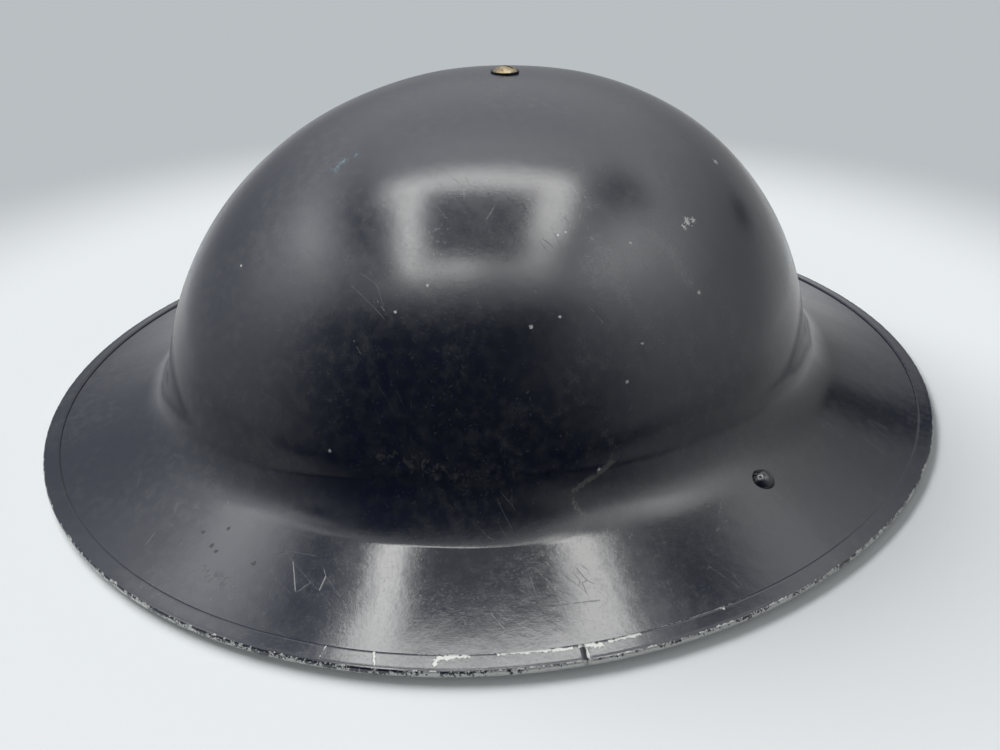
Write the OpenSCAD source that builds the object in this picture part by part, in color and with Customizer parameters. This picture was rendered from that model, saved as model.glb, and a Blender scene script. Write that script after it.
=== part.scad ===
// Steel helmet with a shallow bowl and a wide brim, with its liner and chinstrap.
// Millimetres. +Z is up, -Y is the front, the rim rests on z = 0.

/* [Rim] */
// Length over the rim, front to back
rim_len = 305; // [294:1:318]
// Width over the rim, ear to ear
rim_wid = 284.8; // [276:0.4:296]
// Squareness of the rim's outline, where 2 is an ellipse
rim_power = 2.04; // [1.96:0.01:2.2]
// Slope of the brim at the rim, rise over run
rim_slope = 0.18; // [0.12:0.01:0.24]
// Visible width of the folded steel edging
band_w = 5; // [4:0.1:7]
// Thickness of the edging's strip
band_t = 0.5; // [0.4:0.05:0.8]
// Angle from +X at which the edging's two ends meet
butt_angle = 327.25; // [300:0.25:340]
// Gap between the edging's two ends
butt_gap = 0.4; // [0.2:0.1:1]

/* [Bowl] */
// Length of the bowl at its foot
bowl_len = 231.8; // [226:0.2:238]
// Width of the bowl at its foot
bowl_wid = 204.4; // [200:0.2:210]
// Squareness of the bowl's outline, where 2 is an ellipse
bowl_power = 1.91; // [1.86:0.01:2.05]
// Height of the crown over the rest plane
crown_h = 102.9; // [100:0.1:108]
// Fullness of the bowl's side view, where 2 is an ellipse
bowl_curve = 2.14; // [2.1:0.01:2.3]
// Height at which wall and brim would meet with no flare between them
foot_h = 14.5; // [13.5:0.1:15.5]
// Height of the flare up the wall, at front and back
flare_up_end = 8; // [5:0.5:12]
// Height of the flare up the wall, at the sides
flare_up_side = 10; // [6:0.5:12]
// Reach of the flare over the brim, at front and back
flare_out_end = 7; // [4:0.5:11]
// Reach of the flare over the brim, at the sides
flare_out_side = 11; // [6:0.5:13]
// Thickness of the pressed sheet
sheet_t = 0.91; // [0.8:0.01:1.1]

/* [Crown fixing] */
// Distance of the crown screw behind the bowl's centre
crown_y = 3.5; // [0:0.5:6]
// Diameter of the screw's head
head_d = 7.8; // [7:0.1:9]
// Height of the screw's head
head_h = 1.5; // [1.2:0.1:2.2]
// Diameter of the screw's shank
shank_d = 4.8; // [4:0.1:5.6]
// Width of the screw's slot
slot_w = 0.9; // [0.7:0.1:1.3]
// Angle of the screw's slot from +X
slot_angle = 25; // [0:1:180]
// How far the washer stands out round the head
washer_rim = 0.55; // [0.4:0.05:1]
// Thickness of the washer under the head
washer_t = 0.5; // [0.4:0.1:1]
// Width over the flats of the nut
nut_w = 9.5; // [8.5:0.1:12]
// Thickness of the nut
nut_t = 3.6; // [3:0.1:5]
// Diameter of the plate under the crossed straps
plate_d = 26; // [20:1:30]
// Thickness of that plate
plate_t = 1; // [0.8:0.1:1.6]
// Diameter of the crown pad
pad_d = 84; // [70:1:90]
// Thickness of the crown pad at its middle
pad_t = 10; // [8:0.5:12]
// How far the pad's underside drops towards its edge
pad_dip = 3; // [1:0.5:3.5]

/* [Liner] */
// Length of the headband's frame at its lower edge
frame_len = 197; // [190:1:202]
// Width of the headband's frame at its lower edge
frame_wid = 160; // [154:1:166]
// Room between the frame's upper edge and the wall, front and back
room_end = 6.8; // [5.5:0.1:9]
// Room between the frame's upper edge and the wall, at the sides
room_side = 11.8; // [9:0.1:14]
// Height of the frame's lower edge over the rest plane
frame_z = 18; // [17:0.5:20]
// Height of the frame
frame_h = 36; // [33:0.5:38]
// Thickness of the frame
frame_t = 1.5; // [1.2:0.1:2]
// Thickness of the sweatband
sweat_t = 1.1; // [0.8:0.1:1.5]
// Gap between frame and sweatband, for the rivet heads
sweat_gap = 1.9; // [1.8:0.1:2.4]
// Width of the crown straps
cross_w = 28; // [22:1:32]
// Thickness of the crown straps
cross_t = 1.5; // [1.2:0.1:2]
// Height of the crown straps' ends over the frame's lower edge
cross_low = 20; // [18:0.5:22]
// Height of a rubber buffer
buffer_h = 14; // [10:0.5:15]
// Half of the angle that a buffer covers
buffer_half = 12; // [8:1:14]
// Radius of a buffer's rounded upper and lower edge
buffer_round = 1.5; // [1:0.1:2.5]
// Thickness of the rubber under a buffer's rivet
buffer_floor = 3.2; // [2:0.1:4]
// Diameter of the well over a buffer's rivet
buffer_well_d = 10; // [9:0.5:12]
// Diameter of the liner's rivet shanks
pin_d = 3; // [2.4:0.1:3.4]
// Diameter of the liner's rivet heads
pin_head_d = 6.4; // [5.4:0.1:7]
// Height of the liner's rivet heads
pin_head_h = 0.8; // [0.6:0.1:1]

/* [Strap lugs] */
// Distance of a lug rivet from the middle of the helmet
lug_x = 112.6; // [110:0.2:116]
// Width of a lug's strip
lug_w = 14; // [11:0.5:18]
// Thickness of a lug's strip
lug_t = 1; // [0.8:0.1:1.2]
// Distance from the rivet to the curl that holds the loop
lug_reach = 14.5; // [13.5:0.1:16]
// Length of the strip past the rivet
lug_past = 6; // [5:0.5:9]
// Diameter of the domed head on the brim
rivet_head_d = 6.6; // [5.6:0.1:8]
// Height of that head
rivet_head_h = 2; // [1.4:0.1:2.6]
// Diameter of the rivet's shank
rivet_d = 3.6; // [3:0.1:4.2]
// Diameter of the loop's wire
wire_d = 2.6; // [2.2:0.1:3]
// Width of the loop, between the middles of its side wires
loop_w = 27.6; // [24:0.1:32]
// Height of the loop, between the middles of its two bars
loop_h = 11.6; // [10.6:0.1:12]

/* [Chinstrap] */
// Width of the webbing
web_w = 19; // [16:0.5:20]
// Thickness of the webbing
web_t = 1.6; // [1.2:0.1:1.8]
// Length of the folded end, from the loop's bar
fold_len = 21; // [18:0.5:24]
// Half of the distance between the strap's two straight runs
strap_half = 50; // [44:1:54]
// Radius of the bend into each straight run
turn_r = 10; // [8:0.5:12]
// Distance from the helmet's middle to the front end of the straight runs
strap_run = 40; // [34:1:44]
// Distance from the helmet's middle to the foremost point of the strap
strap_front = 84; // [74:1:86]
// Length of the slide that grips the doubled strap
slide_len = 8; // [6:0.5:12]
// Thickness of the slide's wall
slide_t = 1.2; // [0.8:0.1:1.4]
// Length of the strap's free tail
tail_len = 26; // [22:0.5:28]

/* [Hidden] */

// Clearance between still parts that rest against each other
seat = 0.3;
// Clearance between the sheet's edge and the folded edging
band_play = 0.04;
// Clearance round a shank in its hole, on the radius
hole_play = 0.15;
// Clearance round the wire of a loop in its curl, on the radius
wire_play = 0.08;
// Clearance between a lug's strip and the brim, for the brim's curve
lug_seat = 0.15;
// Clearance between the frame and the inner heads of the liner's rivets
head_play = 0.2;
// Clearance between the webbing and its slide
slide_play = 0.2;
// Height of the slide over the table while the strap is stowed
slide_lift = 1;
// Clearance between the two layers of doubled webbing
layer_gap = 0.2;
// Radius of the flat under the folded edging, half of its width
rest_flat = 0.3;
// Length of a drill that passes through the liner
drill = 40;

// Stations round the helmet and round the liner
shell_steps = 72;
liner_steps = 72;
crown_rings = 13;
flare_rings = 6;
brim_rings = 4;
// Angle above the horizon at which the crown is closed by a flat cap
cap_angle = 89;

fold_r = sheet_t / 2 + band_play + band_t;
rim_tilt = atan(rim_slope);
rim_z = fold_r + sheet_t / 2 * cos(rim_tilt) - rim_slope * fold_r;
wire_r = wire_d / 2;
curl_r = wire_r + wire_play + lug_t;
web_hole_r = wire_r + hole_play;

function mix(a, b, f) = a + (b - a) * f;
function ease(f) = f * f * (3 - 2 * f);
function flip(list) = [for (i = [len(list) - 1:-1:0]) list[i]];
function place(p, q) = [q[0] * cos(p), q[0] * sin(p), q[1]];
// Distance from point q to the line from a to b
function to_line(q, a, b) = let (
        f = (q - a) * (b - a) / ((b - a) * (b - a))
    ) norm(q - mix(a, b, min(1, max(0, f))));

// Radius at angle p of an oval with half widths a along X and b along Y
function plan_r(p, a, b, m) = pow(pow(abs(cos(p)) / a, m) + pow(abs(sin(p)) / b, m), -1 / m);
function rim_r(p) = plan_r(p, rim_wid / 2, rim_len / 2, rim_power);
function bowl_r(p) = plan_r(p, bowl_wid / 2, bowl_len / 2, bowl_power);

// Share of the bowl's foot radius that is left at height z
function wall_share(z) = pow(1 - pow(z / crown_h, bowl_curve), 1 / bowl_curve);
// Height of the bowl's outside at distance r from its axis, for foot radius w
function bowl_z(r, w) = crown_h * pow(1 - pow(r / w, bowl_curve), 1 / bowl_curve);
// Radius of the bowl's inside at angle p and height z
function inner_r(p, z) = bowl_r(p) * wall_share(z) - sheet_t * 1.05;

// Height of the brim's top at distance d inside the rim
function brim_z(p, d) = let (
        reach = rim_r(p) - bowl_r(p),
        lift = foot_h - rim_z - rim_slope * reach
    ) rim_z + rim_slope * d + lift * pow(d / reach, 2);
// Rise per millimetre of the brim at distance d inside the rim
function brim_rise(p, d) = (brim_z(p, d + 0.5) - brim_z(p, d - 0.5));
function brim_at(p, d) = [rim_r(p) - d, brim_z(p, d)];

// Outside of the sheet at angle p, from the crown to its cut edge, as [radius, height]
function flare_up(p) = mix(flare_up_end, flare_up_side, pow(abs(cos(p)), 2));
function flare_out(p) = mix(flare_out_end, flare_out_side, pow(abs(cos(p)), 2));
function bowl_at(p, t) = [
        bowl_r(p) * pow(cos(t), 2 / bowl_curve),
        crown_h * pow(sin(t), 2 / bowl_curve)
    ];
function bend(a, b, c, f) = a * pow(1 - f, 2) + b * 2 * f * (1 - f) + c * f * f;
function outside(p) = let (
        low = asin(pow((foot_h + flare_up(p)) / crown_h, bowl_curve / 2)),
        start = bowl_at(p, low),
        above = bowl_at(p, low + 0.5),
        lean = (above[0] - start[0]) / (above[1] - start[1]),
        far_d = rim_r(p) - bowl_r(p) - flare_out(p),
        end = brim_at(p, far_d),
        rise = brim_rise(p, far_d),
        mid_r = (start[0] + lean * (end[1] + rise * end[0] - start[1])) / (1 + lean * rise),
        mid = [mid_r, end[1] + rise * (end[0] - mid_r)]
    ) concat(
        [for (j = [0:crown_rings]) bowl_at(p, mix(cap_angle, low, ease_out(j / crown_rings)))],
        [for (j = [1:flare_rings]) bend(start, mid, end, j / flare_rings)],
        [for (j = [1:brim_rings]) brim_at(p, mix(far_d, band_w, j / brim_rings))],
        [brim_at(p, fold_r)]
    );
// Rings stand closer together near the crown, where the sheet is seen edge on
function ease_out(f) = mix(f, f * f, 0.35);

// A line of [radius, height] points moved sideways by d
function beside(line, d) = [for (i = [0:len(line) - 1]) let (
        a = line[max(i - 1, 0)],
        b = line[min(i + 1, len(line) - 1)],
        t = (b - a) / norm(b - a)
    ) line[i] + d * [-t[1], t[0]]];
// The sheet's two faces as one chain, over the rim and back to the crown
function sheet_chain(p) = let (
        out = outside(p),
        in = beside(out, -sheet_t)
    ) concat(out, [for (i = [len(in) - 1:-1:1]) in[i]], [out[0] - [0, sheet_t]]);

// Skin over a row of point loops. With ring the last loop joins the first,
// otherwise both ends are closed. Without tube the loops are open chains, and
// the two holes that their ends leave are closed.
module loft(loops, ring = true, tube = true) {
    n = len(loops);
    k = len(loops[0]);
    skin = [
        for (i = [0:n - (ring ? 1 : 2)])
            for (j = [0:k - (tube ? 1 : 2)])
                let (
                    i2 = (i + 1) % n,
                    j2 = (j + 1) % k,
                    a = i * k + j,
                    b = i2 * k + j,
                    c = i2 * k + j2,
                    d = i * k + j2
                )
                each [[a, b, c], [a, c, d]]
    ];
    ends = ring ? [] : [
        [for (j = [0:k - 1]) j],
        [for (j = [k - 1:-1:0]) (n - 1) * k + j]
    ];
    caps = tube ? [] : [
        [for (i = [n - 1:-1:0]) i * k],
        [for (i = [0:n - 1]) i * k + k - 1]
    ];
    polyhedron(points = [for (loop = loops) each loop], faces = concat(skin, ends, caps));
}

// Side view of the brim at the lugs, and the place of each lug on it
side_line = outside(0);
lug_z = lookup(lug_x, side_line);
lug_tilt = -atan((lookup(lug_x + 2, side_line) - lookup(lug_x - 2, side_line)) / 4);

// The sheet's underside along the edge of a lug's strip, as the lug sees it
function from_lug(q) = [
        (q[0] - lug_x) * cos(lug_tilt) - (q[1] - lug_z) * sin(lug_tilt),
        (q[0] - lug_x) * sin(lug_tilt) + (q[1] - lug_z) * cos(lug_tilt)
    ];
lug_edge = asin(lug_w / 2 / (lug_x - lug_reach));
under_line = [for (q = beside(outside(lug_edge), -sheet_t)) from_lug([q[0] * cos(lug_edge), q[1]])];
strip_top = min([for (q = under_line) if (q[0] > -lug_reach && q[0] < lug_past + 3) q[1]]) - lug_seat;
// Room between the curl and the sheet with the strip's top at height top
function curl_room(top) = min([for (i = [1:len(under_line) - 1])
    to_line([-lug_reach, top - lug_t + curl_r], under_line[i - 1], under_line[i])]) - curl_r;
lug_top = [for (top = [strip_top:-0.05:strip_top - 6]) if (curl_room(top) > lug_seat) top][0];
curl_local = [-lug_reach, lug_top - lug_t + curl_r];
bar_x = lug_x + curl_local[0] * cos(lug_tilt) + curl_local[1] * sin(lug_tilt);
curl_z = lug_z - curl_local[0] * sin(lug_tilt) + curl_local[1] * cos(lug_tilt);
bar_z = curl_z - loop_h;

// Puts its children at a lug's rivet, square to the brim there
module at_lug(side) {
    mirror([side < 0 ? 1 : 0, 0, 0])
        translate([lug_x, 0, lug_z])
            rotate([0, lug_tilt, 0])
                children();
}

module shell() {
    color("#1b2130")
        difference() {
            loft([for (i = [0:shell_steps - 1]) let (p = butt_angle + i * 360 / shell_steps)
                [for (q = sheet_chain(p)) place(p, q)]], tube = false);
            translate([0, crown_y, crown_h - 10])
                cylinder(d = shank_d + 2 * hole_play, h = 20, $fn = 48);
            for (side = [-1, 1])
                at_lug(side)
                    translate([0, 0, -5])
                        cylinder(d = rivet_d + 2 * hole_play, h = 10, $fn = 48);
        }
}

// Cross-section of the folded edging at angle p
function band_loop(p) = let (
        up = [sin(rim_tilt), cos(rim_tilt)],
        centre = brim_at(p, fold_r) - up * (sheet_t / 2),
        hollow = sheet_t / 2 + band_play,
        ds = [band_w, band_w * 0.55],
        low_ds = [band_w * 0.5, band_w * 0.9]
    ) concat(
        [for (d = ds) brim_at(p, d) + up * (band_play + band_t)],
        [for (a = [80, 52, 24, -6, -38, -62]) centre + fold_r * [cos(a), sin(a)]],
        [[centre[0] + rest_flat, 0], [centre[0] - rest_flat, 0]],
        [for (d = low_ds) brim_at(p, d) - up * (sheet_t + band_play + band_t)],
        [for (d = flip(low_ds)) brim_at(p, d) - up * (sheet_t + band_play)],
        [for (a = [-90, 0, 80]) centre + hollow * [cos(a), sin(a)]],
        [for (d = flip(ds)) brim_at(p, d) + up * band_play]
    );

module rim_band() {
    step = 360 / shell_steps;
    full = [for (i = [0:shell_steps]) let (p = butt_angle + i * step)
        [for (q = band_loop(p)) place(p, q)]];
    near = butt_gap / 2 / norm(full[1][0] - full[0][0]);
    last = len(full) - 1;
    loops = concat(
        [[for (j = [0:len(full[0]) - 1]) mix(full[0][j], full[1][j], near)]],
        [for (i = [1:last - 1]) full[i]],
        [[for (j = [0:len(full[0]) - 1]) mix(full[last][j], full[last - 1][j], near)]]
    );
    color("#20242c")
        loft(loops, ring = false);
}

// Heights of the stack under the crown, from the sheet down
outer_seat = crown_h + 0.02;
pad_top = crown_h - sheet_t - seat;
long_top = pad_top - pad_t - seat;
cross_top = long_top - cross_t - seat;
plate_top = cross_top - cross_t - seat;
nut_top = plate_top - plate_t - 0.05;
stack_hole = shank_d + 2 * hole_play;
// Half length of the flat stretch where the crown straps cross
cross_flat = plate_d / 2 + 1;

module crown_screw() {
    cap_r = (pow(head_d / 2, 2) + pow(head_h, 2)) / 2 / head_h;
    tip_z = nut_top - nut_t - 1.2;
    color("#a8854a")
        translate([0, crown_y, 0])
            difference() {
                union() {
                    translate([0, 0, outer_seat + washer_t])
                        rotate_extrude($fn = 64)
                            intersection() {
                                translate([0, head_h - cap_r])
                                    circle(r = cap_r, $fn = 96);
                                square([head_d / 2, head_h]);
                            }
                    translate([0, 0, tip_z])
                        cylinder(d = shank_d, h = outer_seat + washer_t + 0.2 - tip_z, $fn = 48);
                }
                translate([0, 0, outer_seat + washer_t + head_h])
                    rotate([0, 0, slot_angle])
                        cube([head_d * 1.2, slot_w, head_h], center = true);
            }
}

module crown_washer() {
    color("#15171a")
        translate([0, crown_y, outer_seat])
            difference() {
                cylinder(d = head_d + 2 * washer_rim, h = washer_t - 0.02, $fn = 64);
                translate([0, 0, -1])
                    cylinder(d = stack_hole, h = 3, $fn = 48);
            }
}

module crown_pad() {
    foot = bowl_wid / 2;
    rings = 12;
    radius = pad_d / 2;
    edge = [for (j = [0:rings]) j / rings * radius];
    function top(r) = bowl_z(r + crown_y, foot) - bowl_z(crown_y, foot) + pad_top;
    // The pad rests on the straps, whose edges lie half their width from its middle
    function along(r) = sqrt(max(0, r * r - cross_w * cross_w / 4));
    function low(r) = pad_top - pad_t
        - pad_dip * pow(max(0, along(r) - cross_flat) / (along(radius) - cross_flat), 1.6);
    color("#2d2b29")
        translate([0, crown_y, 0])
            difference() {
                rotate_extrude($fn = 64)
                    polygon(concat(
                        [for (r = edge) [r, top(r) - 0.004 * r]],
                        [for (r = flip(edge)) [r, low(r)]]
                    ));
                translate([0, 0, pad_top - 2 * pad_t])
                    cylinder(d = stack_hole, h = 3 * pad_t, $fn = 48);
            }
}

// How far the frame leans in at its upper edge, at the sides and at the ends
frame_top = frame_z + frame_h;
lean_side = frame_wid / 2 + room_side - inner_r(0, frame_top);
lean_end = frame_len / 2 + room_end - inner_r(90, frame_top);
// Half widths of the headband frame's outside at height z, along X and along Y
function frame_a(z) = frame_wid / 2 - lean_side * (z - frame_z) / frame_h;
function frame_b(z) = frame_len / 2 - lean_end * (z - frame_z) / frame_h;
function frame_r(p, z) = plan_r(p, frame_a(z), frame_b(z), 2);

// Outer face of a crown strap from one end over the top to the other. The ends
// lie on the frame, whose half width is low_r at the strap's end and high_r at the frame's top.
function strap_line(low_r, high_r, top) = let (
        out = seat + cross_t,
        a = [low_r + out, frame_z + cross_low],
        b = [high_r + out, frame_z + frame_h],
        c = b + (top - b[1]) * 0.53 * (b - a) / norm(b - a),
        d = [high_r * 0.43, top],
        e = [cross_flat, top],
        half = concat([a], [for (j = [0:12]) let (f = j / 12)
            b * pow(1 - f, 3) + c * 3 * f * pow(1 - f, 2) + d * 3 * f * f * (1 - f) + e * pow(f, 3)])
    ) concat(half, [for (q = flip(half)) [-q[0], q[1]]]);

// A crown strap along X
module crown_strap(line) {
    rotate([90, 0, 0])
        linear_extrude(cross_w, center = true)
            polygon(concat(line, flip(beside(line, cross_t))));
}

// Puts its children at height z on the frame's outside, facing out along +Z
module on_frame(p, z, across = 0) {
    a = [frame_a(z), frame_b(z)];
    lean = atan(mix(lean_end, lean_side, pow(cos(p), 2)) / frame_h);
    rotate([0, 0, p])
        translate([plan_r(p, a[0], a[1], 2), across, z])
            rotate([0, 90 - lean, 0])
                children();
}

rivet_row = [-cross_w / 4, cross_w / 4];
rivet_z = frame_z + (cross_low + frame_h) / 2;
buffer_z = frame_z + (cross_low - buffer_h) / 2;
cross_shift = crown_y;
// Place across the frame of a strap's rivet at angle p
function rivet_across(p, across) = across + cross_shift * cos(p);
// How far the frame curves back under a rivet's head that is off its middle by across
function frame_back(p, across) = let (
        a = frame_a(rivet_z),
        b = frame_b(rivet_z),
        deep = abs(cos(p)) > 0.5 ? a : b,
        wide = abs(cos(p)) > 0.5 ? b : a
    ) deep * (1 - sqrt(1 - pow((abs(across) + pin_head_d / 2) / wide, 2)));

// Shanks of the crown straps' rivets, or holes for them
module strap_rivet_pins(d) {
    for (p = [0:90:270])
        for (across = rivet_row)
            on_frame(p, rivet_z, rivet_across(p, across))
                translate([0, 0, -frame_t - 3])
                    cylinder(d = d, h = frame_t + cross_t + 7, $fn = 32);
}

module crown_strap_long() {
    color("#2b2a27")
        difference() {
            rotate([0, 0, 90])
                crown_strap(strap_line(frame_b(frame_z + cross_low), frame_b(frame_z + frame_h),
                    long_top));
            translate([0, crown_y, long_top - 10])
                cylinder(d = stack_hole, h = 20, $fn = 48);
            strap_rivet_pins(pin_d + 2 * hole_play);
        }
}

module crown_strap_cross() {
    color("#2b2a27")
        difference() {
            translate([0, cross_shift, 0])
                crown_strap(strap_line(frame_a(frame_z + cross_low), frame_a(frame_z + frame_h),
                    cross_top));
            translate([0, crown_y, cross_top - 10])
                cylinder(d = stack_hole, h = 20, $fn = 48);
            strap_rivet_pins(pin_d + 2 * hole_play);
        }
}

module crown_plate() {
    color("#6f7276")
        translate([0, crown_y, plate_top - plate_t])
            difference() {
                cylinder(d = plate_d, h = plate_t, $fn = 64);
                translate([0, 0, -1])
                    cylinder(d = stack_hole, h = plate_t + 2, $fn = 48);
            }
}

module crown_nut() {
    color("#a8854a")
        translate([0, crown_y, nut_top - nut_t])
            difference() {
                intersection() {
                    cylinder(d = nut_w / cos(30), h = nut_t, $fn = 6);
                    translate([0, 0, nut_t / 2])
                        sphere(d = nut_w * 1.24, $fn = 64);
                }
                translate([0, 0, -1])
                    cylinder(d = shank_d + 0.1, h = nut_t + 2, $fn = 48);
            }
}

module headband_frame() {
    high = frame_z + frame_h;
    color("#3a2f26")
        difference() {
            loft([for (i = [0:liner_steps - 1]) let (p = i * 360 / liner_steps) [
                place(p, [frame_r(p, high) - frame_t, high]),
                place(p, [frame_r(p, high), high]),
                place(p, [frame_r(p, frame_z), frame_z]),
                place(p, [frame_r(p, frame_z) - frame_t, frame_z])
            ]]);
            strap_rivet_pins(pin_d + 2 * hole_play);
            for (p = [0:90:270])
                on_frame(p, buffer_z + buffer_h / 2)
                    translate([0, 0, -frame_t - 2])
                        cylinder(d = pin_d + 2 * hole_play, h = frame_t + 4, $fn = 32);
        }
}

module sweatband() {
    high = frame_z + frame_h - 3;
    low = frame_z - seat;
    inset = frame_t + sweat_gap + sweat_t;
    color("#1d1c1b")
        loft([for (i = [0:liner_steps - 1]) let (p = i * 360 / liner_steps) [
            place(p, [frame_r(p, high) - inset, high]),
            place(p, [frame_r(p, high) - inset + sweat_t, high]),
            place(p, [frame_r(p, low) - inset + sweat_t, low]),
            place(p, [frame_r(p, low), low]),
            place(p, [frame_r(p, low) - 0.4, low - sweat_t]),
            place(p, [frame_r(p, low) - inset, low - sweat_t])
        ]]);
}

// Rubber block between the frame and the wall, centred on angle p
module buffer(p) {
    slices = 8;
    function face(q, z, k) = mix(frame_r(q, z) + seat, inner_r(q, z) - seat, k);
    color("#26262a")
        difference() {
            loft([for (i = [0:slices]) let (
                    f = 2 * i / slices - 1,
                    q = p + f * buffer_half,
                    low = buffer_z + buffer_round * pow(f, 4),
                    high = buffer_z + buffer_h - buffer_round * pow(f, 4),
                    out = 1 - 0.3 * pow(f, 4)
                ) [
                    place(q, [face(q, high, 0), high]),
                    place(q, [face(q, high, out * 0.86), high]),
                    place(q, [face(q, high - buffer_round, out), high - buffer_round]),
                    place(q, [face(q, low + buffer_round, out), low + buffer_round]),
                    place(q, [face(q, low, out * 0.86), low]),
                    place(q, [face(q, low, 0), low])
                ]], ring = false);
            on_frame(p, buffer_z + buffer_h / 2) {
                translate([0, 0, -drill / 8])
                    cylinder(d = pin_d + 2 * hole_play, h = drill, $fn = 32);
                translate([0, 0, seat + buffer_floor])
                    cylinder(d = buffer_well_d, h = drill, $fn = 48);
            }
        }
}

module buffer_front() {
    buffer(270);
}

module buffer_rear() {
    buffer(90);
}

module buffer_left() {
    buffer(0);
}

module buffer_right() {
    buffer(180);
}

// Rivet through a stack, with its inner head under z = low and its outer head over z = high
module liner_rivet(low, high) {
    shoulder = 0.04;
    rotate_extrude($fn = 48)
        polygon([
            [0, low - pin_head_h],
            [pin_head_d * 0.36, low - pin_head_h],
            [pin_head_d / 2, low - pin_head_h * 0.45],
            [pin_head_d / 2, low - shoulder],
            [pin_d / 2, low - shoulder],
            [pin_d / 2, high + shoulder],
            [pin_head_d / 2, high + shoulder],
            [pin_head_d / 2, high + pin_head_h * 0.45],
            [pin_head_d * 0.36, high + pin_head_h],
            [0, high + pin_head_h]
        ]);
}

module buffer_rivets() {
    color("#7d7a70")
        for (p = [0:90:270])
            on_frame(p, buffer_z + buffer_h / 2)
                liner_rivet(-frame_t - frame_back(p, 0) - head_play, seat + buffer_floor);
}

module strap_rivets() {
    color("#7d7a70")
        for (p = [0:90:270])
            for (across = rivet_row)
                on_frame(p, rivet_z, rivet_across(p, across))
                    liner_rivet(-frame_t - frame_back(p, rivet_across(p, across)) - head_play,
                        seat + cross_t);
}

// Strip under the brim whose inboard end curls up round the loop's wire
module lug_plate(side) {
    low = lug_top - lug_t;
    color("#23262b")
        at_lug(side)
            difference() {
                union() {
                    translate([-lug_reach, -lug_w / 2, low])
                        cube([lug_reach + lug_past - lug_w / 4, lug_w, lug_t]);
                    translate([lug_past - lug_w / 4, 0, low])
                        linear_extrude(lug_t)
                            intersection() {
                                scale([0.5, 1])
                                    circle(d = lug_w, $fn = 64);
                                translate([-0.01, -lug_w])
                                    square(2 * lug_w);
                            }
                    translate([curl_local[0], 0, curl_local[1]])
                        rotate([90, 0, 0])
                            cylinder(r = curl_r, h = lug_w, center = true, $fn = 64);
                }
                translate([curl_local[0], 0, curl_local[1]])
                    rotate([90, 0, 0])
                        cylinder(r = wire_r + wire_play, h = lug_w + 2, center = true, $fn = 64);
                translate([0, 0, low - 1])
                    cylinder(d = rivet_d + 2 * hole_play, h = lug_t + 2, $fn = 48);
            }
}

module lug_plate_left() {
    lug_plate(1);
}

module lug_plate_right() {
    lug_plate(-1);
}

module lug_rivet(side) {
    cap_r = (pow(rivet_head_d / 2, 2) + pow(rivet_head_h, 2)) / 2 / rivet_head_h;
    gap = 0.12;
    low = lug_top - lug_t - 0.05;
    color("#1b2130")
        at_lug(side) {
            rotate_extrude($fn = 64)
                translate([0, gap])
                    intersection() {
                        translate([0, rivet_head_h - cap_r])
                            circle(r = cap_r, $fn = 96);
                        square([rivet_head_d / 2, rivet_head_h]);
                    }
            translate([0, 0, low - 0.4])
                cylinder(d = rivet_d, h = gap + 0.6 - low, $fn = 48);
            translate([0, 0, low - 1])
                cylinder(d1 = rivet_d * 1.3, d2 = rivet_d * 1.7, h = 1, $fn = 48);
        }
}

module lug_rivet_left() {
    lug_rivet(1);
}

module lug_rivet_right() {
    lug_rivet(-1);
}

// Loop of wire that hangs in its curl, with bent corners
module lug_loop(side) {
    corner = wire_d;
    half = loop_w / 2;
    color("#4a4d51")
        translate([side * bar_x, 0, curl_z])
            rotate([90, 0, 90]) {
                for (y = [0, -loop_h])
                    translate([-half + corner, y, 0])
                        rotate([0, 90, 0])
                            cylinder(r = wire_r, h = loop_w - 2 * corner, $fn = 48);
                for (x = [-half, half])
                    translate([x, -corner, 0])
                        rotate([90, 0, 0])
                            cylinder(r = wire_r, h = loop_h - 2 * corner, $fn = 48);
                for (c = [[1, 0, 0], [-1, 0, 90], [-1, -1, 180], [1, -1, 270]])
                    translate([c[0] * (half - corner), c[1] * loop_h - (c[1] < 0 ? -1 : 1) * corner, 0])
                        rotate([0, 0, c[2]])
                            rotate_extrude(angle = 90, $fn = 48)
                                translate([corner, 0])
                                    circle(r = wire_r, $fn = 48);
            }
}

module lug_loop_left() {
    lug_loop(1);
}

module lug_loop_right() {
    lug_loop(-1);
}

// Webbing folded round the loop's lower bar and back on itself
fold_r_out = web_hole_r + web_t;
end_pin_x = fold_len * 0.55;
module webbing_end(side) {
    color("#8a8163")
        mirror([side < 0 ? 1 : 0, 0, 0])
            translate([bar_x, 0, bar_z])
                difference() {
                    rotate([90, 0, 0])
                        linear_extrude(web_w, center = true)
                            difference() {
                                union() {
                                    circle(r = fold_r_out, $fn = 64);
                                    translate([-fold_len, -web_t - layer_gap / 2])
                                        square([fold_len, 2 * web_t + layer_gap]);
                                }
                                circle(r = web_hole_r, $fn = 64);
                            }
                    translate([-end_pin_x, 0, -5])
                        cylinder(d = pin_d + 2 * hole_play, h = 10, $fn = 32);
                }
}

module webbing_end_left() {
    webbing_end(1);
}

module webbing_end_right() {
    webbing_end(-1);
}

module webbing_end_rivets() {
    reach = web_t + layer_gap / 2 + 0.05;
    color("#7d7a70")
        for (side = [-1, 1])
            translate([side * (bar_x - end_pin_x), 0, bar_z])
                liner_rivet(-reach, reach);
}

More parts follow.
